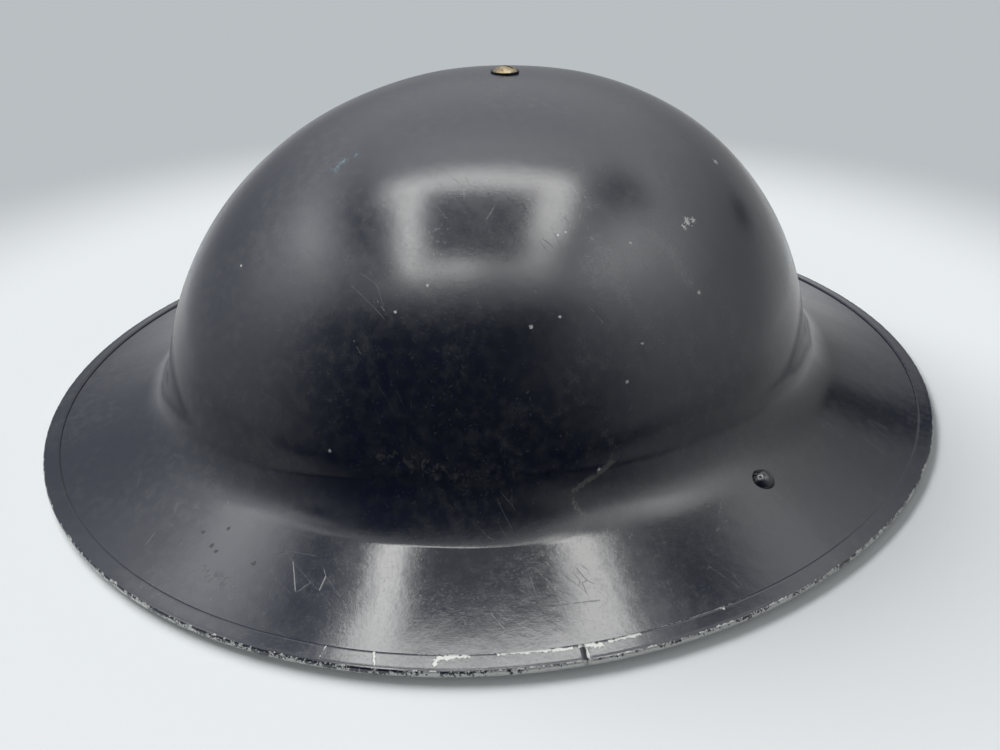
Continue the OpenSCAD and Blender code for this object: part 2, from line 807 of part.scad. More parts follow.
// Route of the strap's middle: along the table inside the rim, standing on its edge.
// Each point is [place, direction of the webbing's width].
web_z = slide_lift + slide_t + slide_play + web_w / 2;
web_start = bar_x - fold_len - seat;
web_turn = strap_half + turn_r;
function strap_side(s) = concat(
        [for (j = [0:8]) let (f = j / 8, e = ease(f)) [
            [s * mix(web_start, web_turn, f), 0, mix(bar_z, web_z, e)],
            [0, cos(90 * e), -sin(90 * e)]
        ]],
        [for (j = [1:5]) let (a = 90 + j * 90 / 5) [
            [s * (web_turn + turn_r * cos(a)), turn_r * (sin(a) - 1), web_z],
            [0, 0, -1]
        ]],
        [for (j = [1:3]) [
            [s * strap_half, -mix(turn_r, strap_run, j / 3), web_z],
            [0, 0, -1]
        ]]
    );
function strap_arc() = [for (j = [1:19]) let (a = j * 9) [
        [strap_half * cos(a), -strap_run - (strap_front - strap_run) * sin(a), web_z],
        [0, 0, -1]
    ]];
strap_route = concat(strap_side(1), strap_arc(), flip(strap_side(-1)));

module chinstrap() {
    last = len(strap_route) - 1;
    color("#8a8163")
        loft([for (i = [0:last]) let (
                c = strap_route[i][0],
                w = strap_route[i][1],
                step = strap_route[min(i + 1, last)][0] - strap_route[max(i - 1, 0)][0],
                run = i == 0 || i == last ? [-1, 0, 0] : step / norm(step),
                raw = cross(run, w),
                t = raw / norm(raw)
            ) [
                c - t * web_t / 2 + w * web_w / 2,
                c + t * web_t / 2 + w * web_w / 2,
                c + t * web_t / 2 - w * web_w / 2,
                c - t * web_t / 2 - w * web_w / 2
            ]], ring = false);
}

// Place of the doubled stretch: the tail lies inside the left run
tail_start = -strap_run - 0.5;
tail_x = strap_half - web_t - layer_gap;
slide_y = tail_start + tail_len * 0.45;

module strap_tail() {
    color("#8a8163")
        translate([tail_x, tail_start, web_z])
            rotate([90, 0, 90])
                linear_extrude(web_t, center = true)
                    polygon([
                        [0, -web_w / 2],
                        [tail_len - 4, -web_w / 2],
                        [tail_len - 1, -web_w / 2 + 2],
                        [tail_len, -web_w / 2 + 5],
                        [tail_len, web_w / 2 - 5],
                        [tail_len - 1, web_w / 2 - 2],
                        [tail_len - 4, web_w / 2],
                        [0, web_w / 2]
                    ]);
}

module strap_slide() {
    inner_w = 2 * web_t + layer_gap + 2 * slide_play;
    inner_h = web_w + 2 * slide_play;
    color("#9a8150")
        translate([(tail_x + strap_half) / 2, slide_y, web_z])
            rotate([90, 0, 0])
                linear_extrude(slide_len, center = true)
                    difference() {
                        offset(r = slide_t, $fn = 32)
                            square([inner_w, inner_h], center = true);
                        square([inner_w, inner_h], center = true);
                    }
}

shell();
rim_band();
crown_screw();
crown_washer();
crown_pad();
crown_strap_long();
crown_strap_cross();
crown_plate();
crown_nut();
headband_frame();
sweatband();
buffer_front();
buffer_rear();
buffer_left();
buffer_right();
buffer_rivets();
strap_rivets();
lug_plate_left();
lug_plate_right();
lug_rivet_left();
lug_rivet_right();
lug_loop_left();
lug_loop_right();
webbing_end_left();
webbing_end_right();
webbing_end_rivets();
chinstrap();
strap_slide();
strap_tail();
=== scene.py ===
import math

import bmesh
import bpy
import numpy as np
from mathutils import Matrix, Vector


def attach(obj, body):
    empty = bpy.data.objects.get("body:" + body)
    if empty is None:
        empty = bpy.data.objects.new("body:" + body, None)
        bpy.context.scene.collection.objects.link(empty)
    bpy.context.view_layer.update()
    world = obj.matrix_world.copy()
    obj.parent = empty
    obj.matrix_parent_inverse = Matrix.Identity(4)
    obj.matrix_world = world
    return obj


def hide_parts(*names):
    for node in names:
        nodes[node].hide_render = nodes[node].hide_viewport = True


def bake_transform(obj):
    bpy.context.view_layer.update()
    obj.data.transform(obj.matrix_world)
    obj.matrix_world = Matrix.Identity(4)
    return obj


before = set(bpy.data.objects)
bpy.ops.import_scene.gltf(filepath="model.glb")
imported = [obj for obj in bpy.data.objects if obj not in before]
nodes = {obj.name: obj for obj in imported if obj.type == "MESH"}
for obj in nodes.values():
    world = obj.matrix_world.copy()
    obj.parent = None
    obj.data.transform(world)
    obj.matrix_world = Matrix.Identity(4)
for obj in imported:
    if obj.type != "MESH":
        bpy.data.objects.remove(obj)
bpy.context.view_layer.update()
mm = 0.001
print("frame loaded:", len(nodes), "nodes")


# small sums and the making of meshes
def mix(a, b, f):
    return a + (b - a) * f


def smooth(f):
    f = np.clip(f, 0, 1)
    return f * f * (3 - 2 * f)


def degrees(a):
    return np.radians(np.asarray(a, float))


def unit(v):
    return v / np.linalg.norm(v, axis=-1, keepdims=True)


def meshObject(name, points, faces, uv=None, fields=None):
    # points in millimetres; faces are rows of corner numbers; uv has one pair per corner
    mesh = bpy.data.meshes.new(name)
    mesh.from_pydata((np.asarray(points, float).reshape(-1, 3) * mm).tolist(), [], [list(f) for f in faces])
    if uv is not None:
        layer = mesh.uv_layers.new(name="UVMap")
        layer.data.foreach_set("uv", np.asarray(uv, np.float32).ravel())
    for key, values in (fields or {}).items():
        field = mesh.attributes.new(key, "FLOAT", "POINT")
        field.data.foreach_set("value", np.asarray(values, np.float32).ravel())
    mesh.polygons.foreach_set("use_smooth", np.ones(len(mesh.polygons), bool))
    mesh.update()
    thing = bpy.data.objects.new(name, mesh)
    bpy.context.scene.collection.objects.link(thing)
    return thing


def gridFaces(nu, nv, wrapU, wrapV, sizeU, sizeV):
    # one face for each cell of an nu by nv grid, with its uv in metres over sizeU by sizeV
    i, j = np.meshgrid(np.arange(nu if wrapU else nu - 1), np.arange(nv if wrapV else nv - 1), indexing="ij")
    i, j = i.ravel(), j.ravel()
    nextI, nextJ = (i + 1) % nu, (j + 1) % nv
    quads = np.stack([i * nv + j, nextI * nv + j, nextI * nv + nextJ, i * nv + nextJ], 1)
    u = np.stack([i, i + 1, i + 1, i], 1) * sizeU / (nu if wrapU else nu - 1)
    v = np.stack([j, j, j + 1, j + 1], 1) * sizeV / (nv if wrapV else nv - 1)
    return quads, np.stack([u, v], 2)


def faceOut(thing, weld=False):
    # every face pointing outwards, and points that meet made one where asked
    work = bmesh.new()
    work.from_mesh(thing.data)
    if weld:
        bmesh.ops.remove_doubles(work, verts=work.verts, dist=1e-6)
    bmesh.ops.recalc_face_normals(work, faces=work.faces)
    work.to_mesh(thing.data)
    work.free()
    return thing


def surface(name, grid, wrapU=False, wrapV=False, size=(1, 1), caps=False, fields=None, weld=False):
    # grid[i, j] is a point; each cell is a face, and caps closes the two ends of a tube
    nu, nv = grid.shape[:2]
    quads, uv = gridFaces(nu, nv, wrapU, wrapV, *size)
    faces, corners = quads.tolist(), uv.reshape(-1, 2)
    if caps:
        faces += [list(range(nv - 1, -1, -1)), [(nu - 1) * nv + j for j in range(nv)]]
        across = np.linspace(0, size[1], nv)
        corners = np.concatenate([corners, np.stack([0 * across, across[::-1]], 1),
                                  np.stack([0 * across + size[0], across], 1)])
    return faceOut(meshObject(name, grid, faces, corners, fields), weld)


# a stitch: shares of its length, of its half thickness, and how far it sinks in shares of its thickness
stitchForm = dict(
    step=(-0.5, -0.4, 0, 0.4, 0.5), size=(0.3, 0.85, 1, 0.85, 0.3), dip=(-0.7, -0.05, 0.1, -0.05, -0.7),
    sides=6,
)


def stitchRow(name, middle, out, length, thick):
    # short threads laid along a line: point = middle + along * step + a ring round it, sunk at both ends
    n, sides, rings = len(middle), stitchForm["sides"], len(stitchForm["step"])
    along = unit(np.roll(middle, -1, 0) - np.roll(middle, 1, 0))
    across = unit(np.cross(along, out))
    step = np.array(stitchForm["step"]) * length
    size = np.array(stitchForm["size"]) * thick / 2
    dip = np.array(stitchForm["dip"]) * thick
    turn = degrees(np.arange(sides) * 360 / sides)
    each = lambda v: v[:, None, None]
    grid = (each(middle) + each(along) * step[:, None, None]
            + each(across) * (size[:, None] * np.cos(turn))[..., None]
            + each(out) * (size[:, None] * np.sin(turn) + dip[:, None])[..., None])
    quads, uv = gridFaces(rings, sides, False, True, length * mm, thick * mm)
    first = np.arange(n)[:, None, None] * rings * sides
    ring = np.arange(sides)
    ends = np.stack([ring[::-1], ring + (rings - 1) * sides])
    faces = (quads[None] + first).reshape(-1, 4).tolist() + (ends[None] + first).reshape(-1, sides).tolist()
    corners = np.concatenate([np.tile(uv.reshape(-1, 2), (n, 1)), np.zeros((2 * sides * n, 2))])
    return faceOut(meshObject(name, grid, faces, corners))


def alongPath(centre, wide, section):
    # a cross-section carried along a path: point = centre + wide * s + thick * t,
    # where thick is square to the path and to its width vector
    step = unit(np.gradient(centre, axis=0))
    thick = unit(np.cross(step, wide))
    return (centre[:, None] + wide[:, None] * section[None, :, :1] + thick[:, None] * section[None, :, 1:])


def strapSection(width, thick, corner, count=5):
    # outline of a flat strap: a rectangle with rounded corners
    turn = degrees(np.linspace(0, 90, count))
    w, t = width / 2 - corner, thick / 2 - corner
    arcs = [np.stack([sx * w + corner * np.cos(turn + a), sy * t + corner * np.sin(turn + a)], 1)
            for sx, sy, a in ((1, 1, 0), (-1, 1, np.pi / 2), (-1, -1, np.pi), (1, -1, 1.5 * np.pi))]
    flat = np.linspace(-1, 1, 13)[1:-1]
    top = np.stack([-flat * w, 0 * flat + thick / 2], 1)
    return np.concatenate([arcs[0], top, arcs[1], arcs[2], -top, arcs[3]])


# the helmet's own form, in millimetres: two half widths are to the side and to the front
helmet = dict(
    rimHalf=(142.4, 152.5), rimPower=2.04, rimSlope=0.18, rimTop=1.2637,
    bowlHalf=(102.2, 115.9), bowlPower=1.91, crown=102.9, curve=2.14, crowding=0.35,
    footHeight=14.5, flareUp=(8, 10), flareOut=(7, 11), sheet=0.91,
    creaseAt=312, creaseHalf=18, creaseUp=0.42, creaseOut=0.13,
    bandWidth=5, bandThick=0.5, bandPlay=0.04, buttAngle=327.25, buttGap=0.16,
)
foldRadius = helmet["sheet"] / 2 + helmet["bandPlay"] + helmet["bandThick"]


def oval(angle, half, power):
    # radius of an oval: ((|cos|/a)^m + (|sin|/b)^m)^(-1/m)
    across, ahead = np.abs(np.cos(angle)) / half[0], np.abs(np.sin(angle)) / half[1]
    return (across ** power + ahead ** power) ** (-1 / power)


def rimAt(angle):
    return oval(angle, helmet["rimHalf"], helmet["rimPower"])


def bowlAt(angle):
    return oval(angle, helmet["bowlHalf"], helmet["bowlPower"])


def brimHeight(angle, inset):
    # a straight slope from the rim that steepens with the square of the distance inside it
    reach = rimAt(angle) - bowlAt(angle)
    lift = helmet["footHeight"] - helmet["rimTop"] - helmet["rimSlope"] * reach
    return helmet["rimTop"] + helmet["rimSlope"] * inset + lift * (inset / reach) ** 2


def sheetLine(angle, bowlSteps, flareSteps, brimSteps):
    # the sheet's outside from crown to cut edge at each angle, as radius and height:
    # bowl = foot radius * cos^(2/n), crown * sin^(2/n); then a cubic bend; then the brim.
    # The bend's two pulls reach 2/3 of the way to its corner, as a plain arc's do, and less at the crease
    angle = angle[:, None]
    n, crown = helmet["curve"], helmet["crown"]
    side = np.cos(angle) ** 2
    rim, bowl = rimAt(angle), bowlAt(angle)
    up, out = mix(*helmet["flareUp"], side), mix(*helmet["flareOut"], side)
    low = np.arcsin(((helmet["footHeight"] + up) / crown) ** (n / 2))
    f = np.linspace(0, 1, bowlSteps + 1)[None]
    t = mix(np.pi / 2, low, mix(f, f * f, helmet["crowding"]))
    bowlR, bowlZ = bowl * np.cos(t).clip(0) ** (2 / n), crown * np.sin(t) ** (2 / n)
    startR, startZ = bowlR[:, -1:], bowlZ[:, -1:]
    above = low + 0.009  # half a degree up the bowl, to find its lean where the bend starts
    lean = (bowl * np.cos(above) ** (2 / n) - startR) / (crown * np.sin(above) ** (2 / n) - startZ)
    inset = rim - bowl - out
    endR, endZ = rim - inset, brimHeight(angle, inset)
    rise = brimHeight(angle, inset + 0.5) - brimHeight(angle, inset - 0.5)
    cornerR = (startR + lean * (endZ + rise * endR - startZ)) / (1 + lean * rise)
    cornerZ = endZ + rise * (endR - cornerR)
    off = (np.degrees(angle) - helmet["creaseAt"] + 180) % 360 - 180
    tight = np.exp(-(off / helmet["creaseHalf"]) ** 4)
    first, last = mix(2 / 3, helmet["creaseUp"], tight), mix(2 / 3, helmet["creaseOut"], tight)
    f = np.linspace(0, 1, flareSteps + 1)[None, 1:]

    def bend(start, corner, end):
        pulls = start, mix(start, corner, first), mix(end, corner, last), end
        weights = (1 - f) ** 3, 3 * f * (1 - f) ** 2, 3 * f * f * (1 - f), f ** 3
        return sum(w * c for w, c in zip(weights, pulls))

    flareR, flareZ = bend(startR, cornerR, endR), bend(startZ, cornerZ, endZ)
    d = mix(inset, foldRadius + 0.1, np.linspace(0, 1, brimSteps + 1)[None, 1:])
    brimR, brimZ = rim - d, brimHeight(angle, d)
    return np.concatenate([bowlR, flareR, brimR], 1), np.concatenate([bowlZ, flareZ, brimZ], 1)


def beside(r, z, d):
    # a line of radius and height moved sideways by d, square to its own direction
    dr, dz = np.gradient(r, axis=1), np.gradient(z, axis=1)
    size = np.hypot(dr, dz)
    return r - d * dz / size, z + d * dr / size


def aroundAxis(angle, r, z):
    return np.stack([r * np.cos(angle)[:, None], r * np.sin(angle)[:, None], z + 0 * r], 2)


def handWork(points):
    # the slow waves of a hand-finished pressing: a sum of three sines of the place, up to 0.2 mm
    x, y, z = points[..., 0], points[..., 1], points[..., 2]
    return (0.10 * np.sin(x / 17 + 1.3) * np.sin(y / 21 - z / 26)
            + 0.06 * np.sin(y / 9.5 + x / 13 + 0.4) * np.sin(z / 11 + 2)
            + 0.05 * np.sin(x / 6.2 - y / 7.1 + z / 5.3))


# the camera, fitted to the photo: its place in metres and the directions of its own three axes
cameraSet = dict(
    place=(0.229323, -0.195515, 0.163016), lens=34.0914, sensor=36, clip=(0.01, 100),
    right=(0.65279702, 0.75749025, -0.00803509), up=(-0.36180361, 0.32108238, 0.87521669),
    back=(0.66554804, -0.56843172, 0.48366433),
)
camData = bpy.data.cameras.new("camera")
camData.sensor_width, camData.lens = cameraSet["sensor"], cameraSet["lens"]
camData.clip_start, camData.clip_end = cameraSet["clip"]
camera = bpy.data.objects.new("camera", camData)
axes = np.array([cameraSet["right"], cameraSet["up"], cameraSet["back"]]).T
camera.matrix_world = Matrix([[*axes[r], cameraSet["place"][r]] for r in range(3)] + [[0, 0, 0, 1]])
bpy.context.scene.collection.objects.link(camera)
bpy.context.scene.camera = camera
bpy.context.scene.view_settings.view_transform = "Standard"

lookRight = Vector((cameraSet["right"][0], cameraSet["right"][1], 0)).normalized()
lookFar = Vector((-cameraSet["back"][0], -cameraSet["back"][1], 0)).normalized()

# lamps, in metres; a bar of the frame overhead is (right of the camera's line, away, width, depth, glow)
lightSet = dict(
    ringHeight=0.3,
    ringBars=((-0.002, -0.018, 0.229, 0.036, 4.2), (-0.087, -0.105, 0.032, 0.138, 5.2),
              (0.094, -0.080, 0.046, 0.088, 4.2), (0.094, -0.157, 0.046, 0.066, 2.0),
              (-0.048, -0.192, 0.110, 0.036, 3.6), (0.062, -0.192, 0.110, 0.036, 1.1)),
    tint=(1.0, 1.0, 0.965), sun=(-0.72, 0.60, 0.86), sunPower=3.75, sunWidth=44,
    underWide=0.26, underHeight=-0.0013, underGlow=1.1,
)


def areaLight(name, across, away, height, size, glow):
    # a flat lamp that faces down and lights reflections only, placed by its distance to the right of and
    # away from the camera's line; its power is glow * pi * area, so that its mirror image shows as glow
    data = bpy.data.lights.new(name, "AREA")
    data.shape, data.size, data.size_y = "RECTANGLE", size[0], size[1]
    data.energy, data.color = glow * math.pi * size[0] * size[1], lightSet["tint"]
    lamp = bpy.data.objects.new(name, data)
    spot = lookRight * across + lookFar * away + Vector((0, 0, height))
    turn = Matrix.Rotation(math.atan2(lookRight.y, lookRight.x), 4, "Z")
    lamp.matrix_world = Matrix.Translation(spot) @ turn
    lamp.visible_camera = lamp.visible_diffuse = False
    bpy.context.scene.collection.objects.link(lamp)
    return lamp


def makeLamps():
    # the frame of lamps that shows in the paint, a soft light from below for the liner, and daylight
    # from the far left, which casts the shadow and shows in no reflection
    s = lightSet
    for number, (place, away, width, deep, glow) in enumerate(s["ringBars"]):
        areaLight(f"ring{number}", place, away, s["ringHeight"], (width, deep), glow)
    under = areaLight("under", 0, 0, s["underHeight"], (s["underWide"], s["underWide"]), s["underGlow"])
    under.data.shape, under.visible_diffuse, under.visible_glossy = "DISK", True, False
    under.matrix_world = Matrix.Translation((0, 0, s["underHeight"])) @ Matrix.Rotation(math.pi, 4, "X")
    data = bpy.data.lights.new("daylight", "SUN")
    data.energy, data.angle = s["sunPower"], math.radians(s["sunWidth"])
    daylight = bpy.data.objects.new("daylight", data)
    comes = lookRight * s["sun"][0] + lookFar * s["sun"][1] + Vector((0, 0, s["sun"][2]))
    daylight.rotation_euler = comes.to_track_quat("Z", "Y").to_euler()
    daylight.visible_glossy = False
    bpy.context.scene.collection.objects.link(daylight)


makeLamps()


def addNode(tree, kind, inputs=None, **settings):
    # a node with its settings, and its inputs as plain values or as sockets to link
    node = tree.nodes.new(kind)
    for key, value in settings.items():
        setattr(node, key, value)
    for key, value in (inputs or {}).items():
        socket = node.inputs[key]
        if isinstance(value, bpy.types.NodeSocket):
            tree.links.new(value, socket)
        else:
            socket.default_value = value
    return node


def maths(tree, operation, a, b=0.0, c=0.0, clamp=False):
    node = addNode(tree, "ShaderNodeMath", {0: a, 1: b, 2: c}, operation=operation, use_clamp=clamp)
    return node.outputs[0]


def times(tree, *factors):
    total = factors[0]
    for factor in factors[1:]:
        total = maths(tree, "MULTIPLY", total, factor)
    return total


def timesPlus(tree, a, b, c):
    # a * b + c
    return maths(tree, "MULTIPLY_ADD", a, b, c)


def vectorMaths(tree, operation, a, b=(0, 0, 0)):
    return addNode(tree, "ShaderNodeVectorMath", {0: a, 1: b}, operation=operation).outputs


def spread(tree, value, low, high, toLow=0.0, toHigh=1.0, kind="SMOOTHSTEP"):
    # value from low..high onto toLow..toHigh, eased unless kind says otherwise
    node = addNode(tree, "ShaderNodeMapRange", {0: value, 1: low, 2: high, 3: toLow, 4: toHigh},
                   interpolation_type=kind)
    return node.outputs[0]


def mixColour(tree, factor, a, b):
    node = addNode(tree, "ShaderNodeMix", data_type="RGBA")
    for key, value in (("Factor", factor), ("A", a), ("B", b)):
        wanted = "VALUE" if key == "Factor" else "RGBA"
        socket = next(i for i in node.inputs if i.name == key and i.type == wanted and i.enabled)
        if isinstance(value, bpy.types.NodeSocket):
            tree.links.new(value, socket)
        else:
            socket.default_value = value if key == "Factor" else (*value, 1)
    return next(o for o in node.outputs if o.type == "RGBA" and o.enabled)


# the room's soft light: tone by how high the direction points, white from below for what hangs under the
# floor; the camera sees one grey instead, and reflections see none of it
roomSet = dict(
    tones=((0.0, 0.15), (0.17, 0.12), (0.31, 0.25), (0.45, 0.30), (0.58, 0.42), (0.70, 0.54), (0.80, 0.50),
           (0.88, 0.32), (0.95, 0.18)),
    tint=(0.97, 1.0, 1.02), lowest=-0.2, belowFrom=-0.30, belowTo=-0.05, below=(1.3, 1.33, 1.36),
    seen=(0.908, 0.935, 0.960), strength=0.55,
)


def makeRoom():
    s = roomSet
    world = bpy.data.worlds.new("room")
    bpy.context.scene.world = world
    world.use_nodes = True
    t = world.node_tree
    t.nodes.clear()
    heading = addNode(t, "ShaderNodeTexCoord").outputs["Generated"]
    high = vectorMaths(t, "DOT_PRODUCT", heading, (0, 0, 1))["Value"]
    walls = addNode(t, "ShaderNodeValToRGB", {"Fac": spread(t, high, s["lowest"], 1, kind="LINEAR")})
    ramp = walls.color_ramp
    ramp.interpolation = "EASE"
    for place, tone in s["tones"]:  # straight up it stays white
        stop = ramp.elements.new(place) if place else ramp.elements[0]
        stop.color = (*(tone * c for c in s["tint"]), 1)
    below = spread(t, high, s["belowFrom"], s["belowTo"])
    tones = mixColour(t, below, s["below"], walls.outputs["Color"])
    looked = addNode(t, "ShaderNodeLightPath").outputs["Is Camera Ray"]
    lamp = addNode(t, "ShaderNodeBackground", {"Color": mixColour(t, looked, tones, s["seen"]),
                                               "Strength": s["strength"]})
    addNode(t, "ShaderNodeOutputWorld", {"Surface": lamp.outputs[0]})
    world.cycles_visibility.glossy = False


# the paper under the helmet; radius, paleTo and darkFrom in metres, gap in millimetres
floorSet = dict(
    radius=4.0, rings=40, spokes=72, paper=(0.79, 0.82, 0.835), far=(0.49, 0.52, 0.54),
    paleTo=0.21, darkFrom=0.36, lift=0.08, gap=1.6,
)


def makeFloor():
    # rings of points round the helmet: radius = 4 m * share squared, a hair under the rim, which stands on
    # a few places only. It is paper that darkens with distance, and away from the helmet it turns into its
    # own light, so that its tone stays even; from below the camera looks through it
    s = floorSet
    share = np.linspace(0, 1, s["rings"])[1:] ** 2
    angle = degrees(np.linspace(0, 360, s["spokes"], endpoint=False))
    r = np.tile(share * s["radius"] / mm, (s["spokes"], 1))
    rings = np.concatenate([np.zeros((s["spokes"], 1, 3)), aroundAxis(angle, r, np.zeros_like(r))], 1)
    floor = surface("floor", rings - (0, 0, s["gap"]), wrapU=True, weld=True)
    if floor.data.polygons[0].normal.z < 0:
        floor.data.flip_normals()
    material = bpy.data.materials.new("paper")
    material.use_nodes = True
    t = material.node_tree
    t.nodes.clear()
    place = addNode(t, "ShaderNodeTexCoord").outputs["Object"]
    away = vectorMaths(t, "LENGTH", place)["Value"]
    tone = mixColour(t, spread(t, away, s["paleTo"], s["darkFrom"]), s["paper"], s["far"])
    paths = addNode(t, "ShaderNodeLightPath").outputs
    mirrored = maths(t, "MAXIMUM", paths["Is Glossy Ray"], paths["Is Transmission Ray"])
    looked = maths(t, "MAXIMUM", paths["Is Camera Ray"], mirrored)
    paper = addNode(t, "ShaderNodeBsdfDiffuse", {"Color": tone})
    glow = addNode(t, "ShaderNodeEmission", {"Color": tone})
    share = times(t, looked, spread(t, away, s["paleTo"], s["darkFrom"], s["lift"], 1.0))
    lit = addNode(t, "ShaderNodeMixShader", {0: share, 1: paper.outputs[0], 2: glow.outputs[0]})
    clear = addNode(t, "ShaderNodeBsdfTransparent")
    behind = times(t, addNode(t, "ShaderNodeNewGeometry").outputs["Backfacing"], paths["Is Camera Ray"])
    show = addNode(t, "ShaderNodeMixShader", {0: behind, 1: lit.outputs[0], 2: clear.outputs[0]})
    addNode(t, "ShaderNodeOutputMaterial", {"Surface": show.outputs[0]})
    floor.data.materials.append(material)


def mirrorOnly(thing, title, field, tint=(1.0, 1.0, 1.0)):
    # makes a piece of the stage a light as strong as its field, which only reflections see
    material = bpy.data.materials.new(title)
    material.use_nodes = True
    material.cycles.emission_sampling = "NONE"
    t = material.node_tree
    t.nodes.clear()
    strength = addNode(t, "ShaderNodeAttribute", attribute_name=field).outputs["Fac"]
    light = addNode(t, "ShaderNodeEmission", {"Color": (*tint, 1), "Strength": strength})
    addNode(t, "ShaderNodeOutputMaterial", {"Surface": light.outputs[0]})
    thing.data.materials.append(material)
    thing.visible_camera = thing.visible_diffuse = thing.visible_shadow = thing.visible_transmission = False


# the card, in metres except its height; a tone is (away from the camera, strength)
cardSet = dict(
    near=-1.6, half=0.5, closeFrom=-0.25, closeTo=0.12, height=1.5, columns=101, rows=75,
    tones=((-0.20, 0.02), (-0.165, 0.26), (-0.03, 0.34), (0.12, 0.75)), beneath=0.65, beneathTo=0.125,
    beneathFade=0.015,
)


def makeDarkCard():
    # the open front of the light tent and the shaded paper beside the helmet: a flat card, black in front
    # and grey beside, its tone in steps of the distance away, and bright beneath the helmet, which only
    # the looks from below see
    s = cardSet
    right, ahead = np.array(lookRight), np.array(lookFar)
    side = np.linspace(-s["half"], s["half"], s["columns"])
    away = np.concatenate([[s["near"]], np.linspace(s["closeFrom"], s["closeTo"], s["rows"])])
    grid = (side[:, None, None] * right + away[None, :, None] * ahead) / mm + (0, 0, s["height"])
    tone = np.interp(away, *np.array(s["tones"]).T)
    beneath = 1 - smooth((np.hypot(side[:, None], away[None]) - s["beneathTo"]) / s["beneathFade"])
    card = surface("darkCard", grid, fields={"tone": mix(tone[None], s["beneath"], beneath)})
    mirrorOnly(card, "darkCard", "tone")


# the tent, in metres and degrees off the direction away from the camera; wall is (height, light) and depth
# (away, light); a glow is (right, away, half width, half depth, light), a patch (bearing, half, height, half
# height, light), and inside is the darker middle of the frame of lamps, like a glow
tentSet = dict(
    reach=0.33, top=0.302, wallRows=25, topRows=40, spokes=120, lowest=0.004,
    wall=((0.0, 0.34), (0.125, 0.34), (0.175, 0.42), (0.225, 0.62), (0.302, 0.85)),
    depth=((-0.34, 0.04), (-0.29, 0.4), (-0.24, 0.95), (-0.19, 1.15), (0.02, 1.25), (0.1, 1.15), (0.2, 0.95),
           (0.32, 0.8)),
    glows=((-0.275, -0.04, 0.06, 0.09, 1.2), (0.25, -0.12, 0.06, 0.08, 1.1),
           (-0.158, -0.06, 0.035, 0.12, -0.9), (0.165, -0.02, 0.03, 0.06, -0.6),
           (0.205, 0.015, 0.05, 0.04, -0.9), (0.0, 0.05, 0.13, 0.045, 0.35),
           (-0.235, -0.205, 0.04, 0.045, -0.7)),
    inside=(0.0055, -0.105, 0.062, 0.06, 0.60), insideFade=0.012,
    middle=3, frontFrom=122, frontTo=156, frontDim=0.90, low=(0, 62, 0.05, 0.55), side=(106, 26, 0.42),
    patches=((62, 5, 0.118, 0.022, -0.30), (-132, 5, 0.22, 0.035, -0.45), (150, 13, 0.17, 0.08, 0.17)),
    darkest=0.01, tint=(0.98, 0.995, 1.0),
)


def bell(value, middle, half):
    return np.exp(-((value - middle) / half) ** 2)


def makeTent():
    # the lit tent round the helmet: a round wall and a flat top, whose light is
    # (wall(height) + side bells) * front(bearing) + patches below, and depth(away) + glows above
    s = tentSet
    across, away = np.array(lookRight), np.array(lookFar)
    bearing = degrees(np.linspace(0, 360, s["spokes"], endpoint=False))
    inward = s["reach"] * np.linspace(1, 0, s["topRows"])[1:]
    radius = np.concatenate([np.full(s["wallRows"], s["reach"]), inward])
    high = np.concatenate([s["top"] * np.linspace(s["lowest"], 1, s["wallRows"]), 0 * inward + s["top"]])
    x = np.sin(bearing)[:, None] * radius
    y = np.cos(bearing)[:, None] * radius
    grid = x[..., None] * across + y[..., None] * away + high[None, :, None] * np.array((0, 0, 1.0))
    course = np.degrees(np.arctan2(x, y))
    turn = np.abs(course - s["middle"])
    front = 1 - s["frontDim"] * smooth((turn - s["frontFrom"]) / (s["frontTo"] - s["frontFrom"]))
    middle, half, rise, gain = s["low"]
    sideAt, sideHalf, sideRise = s["side"]
    wall = (np.interp(high, *np.array(s["wall"]).T)[None]
            + bell(turn, sideAt, sideHalf) * (high / sideRise)[None]
            + gain * bell(turn, middle, half) * bell(high, 0, rise)[None]) * front
    for middle, half, level, rise, gain in s["patches"]:
        wall = wall + gain * bell(course, middle, half) * bell(high, level, rise)[None]
    top = np.interp(y, *np.array(s["depth"]).T)
    for midX, midY, halfX, halfY, gain in s["glows"]:
        top = top + gain * bell(x, midX, halfX) * bell(y, midY, halfY)
    midX, midY, halfX, halfY, gain = s["inside"]
    within = [smooth((half - np.abs(value - middle)) / s["insideFade"] + 0.5)
              for value, middle, half in ((x, midX, halfX), (y, midY, halfY))]
    top = top * (1 - gain * within[0] * within[1])
    glow = np.where(np.arange(len(radius))[None] < s["wallRows"], wall, top).clip(s["darkest"])
    tent = surface("tent", grid / mm, wrapU=True, fields={"glow": glow})
    mirrorOnly(tent, "tentLight", "glow", s["tint"])


makeRoom()
makeFloor()
makeDarkCard()
makeTent()
print("camera, light and floor made")


# shared effects, as node groups
fullTurn = 6.2832


def newGroup(name, inputs, *outputs):
    # a node group with named sockets; a number as default makes a number's socket, None or three numbers a
    # vector's
    group = bpy.data.node_groups.new(name, "ShaderNodeTree")
    for title, default in inputs.items():
        kind = "NodeSocketFloat" if isinstance(default, float) else "NodeSocketVector"
        socket = group.interface.new_socket(title, in_out="INPUT", socket_type=kind)
        if default is not None:
            socket.default_value = default
    for title in outputs:
        group.interface.new_socket(title, in_out="OUTPUT", socket_type="NodeSocketFloat")
    start = group.nodes.new("NodeGroupInput")
    end = group.nodes.new("NodeGroupOutput")
    return group, start.outputs, end.inputs


def use(tree, group, **inputs):
    return addNode(tree, "ShaderNodeGroup", inputs, node_tree=group).outputs


def noise(tree, vector, scale, detail=2.0, rough=0.5):
    node = addNode(tree, "ShaderNodeTexNoise", {"Vector": vector, "Scale": scale, "Detail": detail,
                                                "Roughness": rough})
    return node.outputs["Fac"]


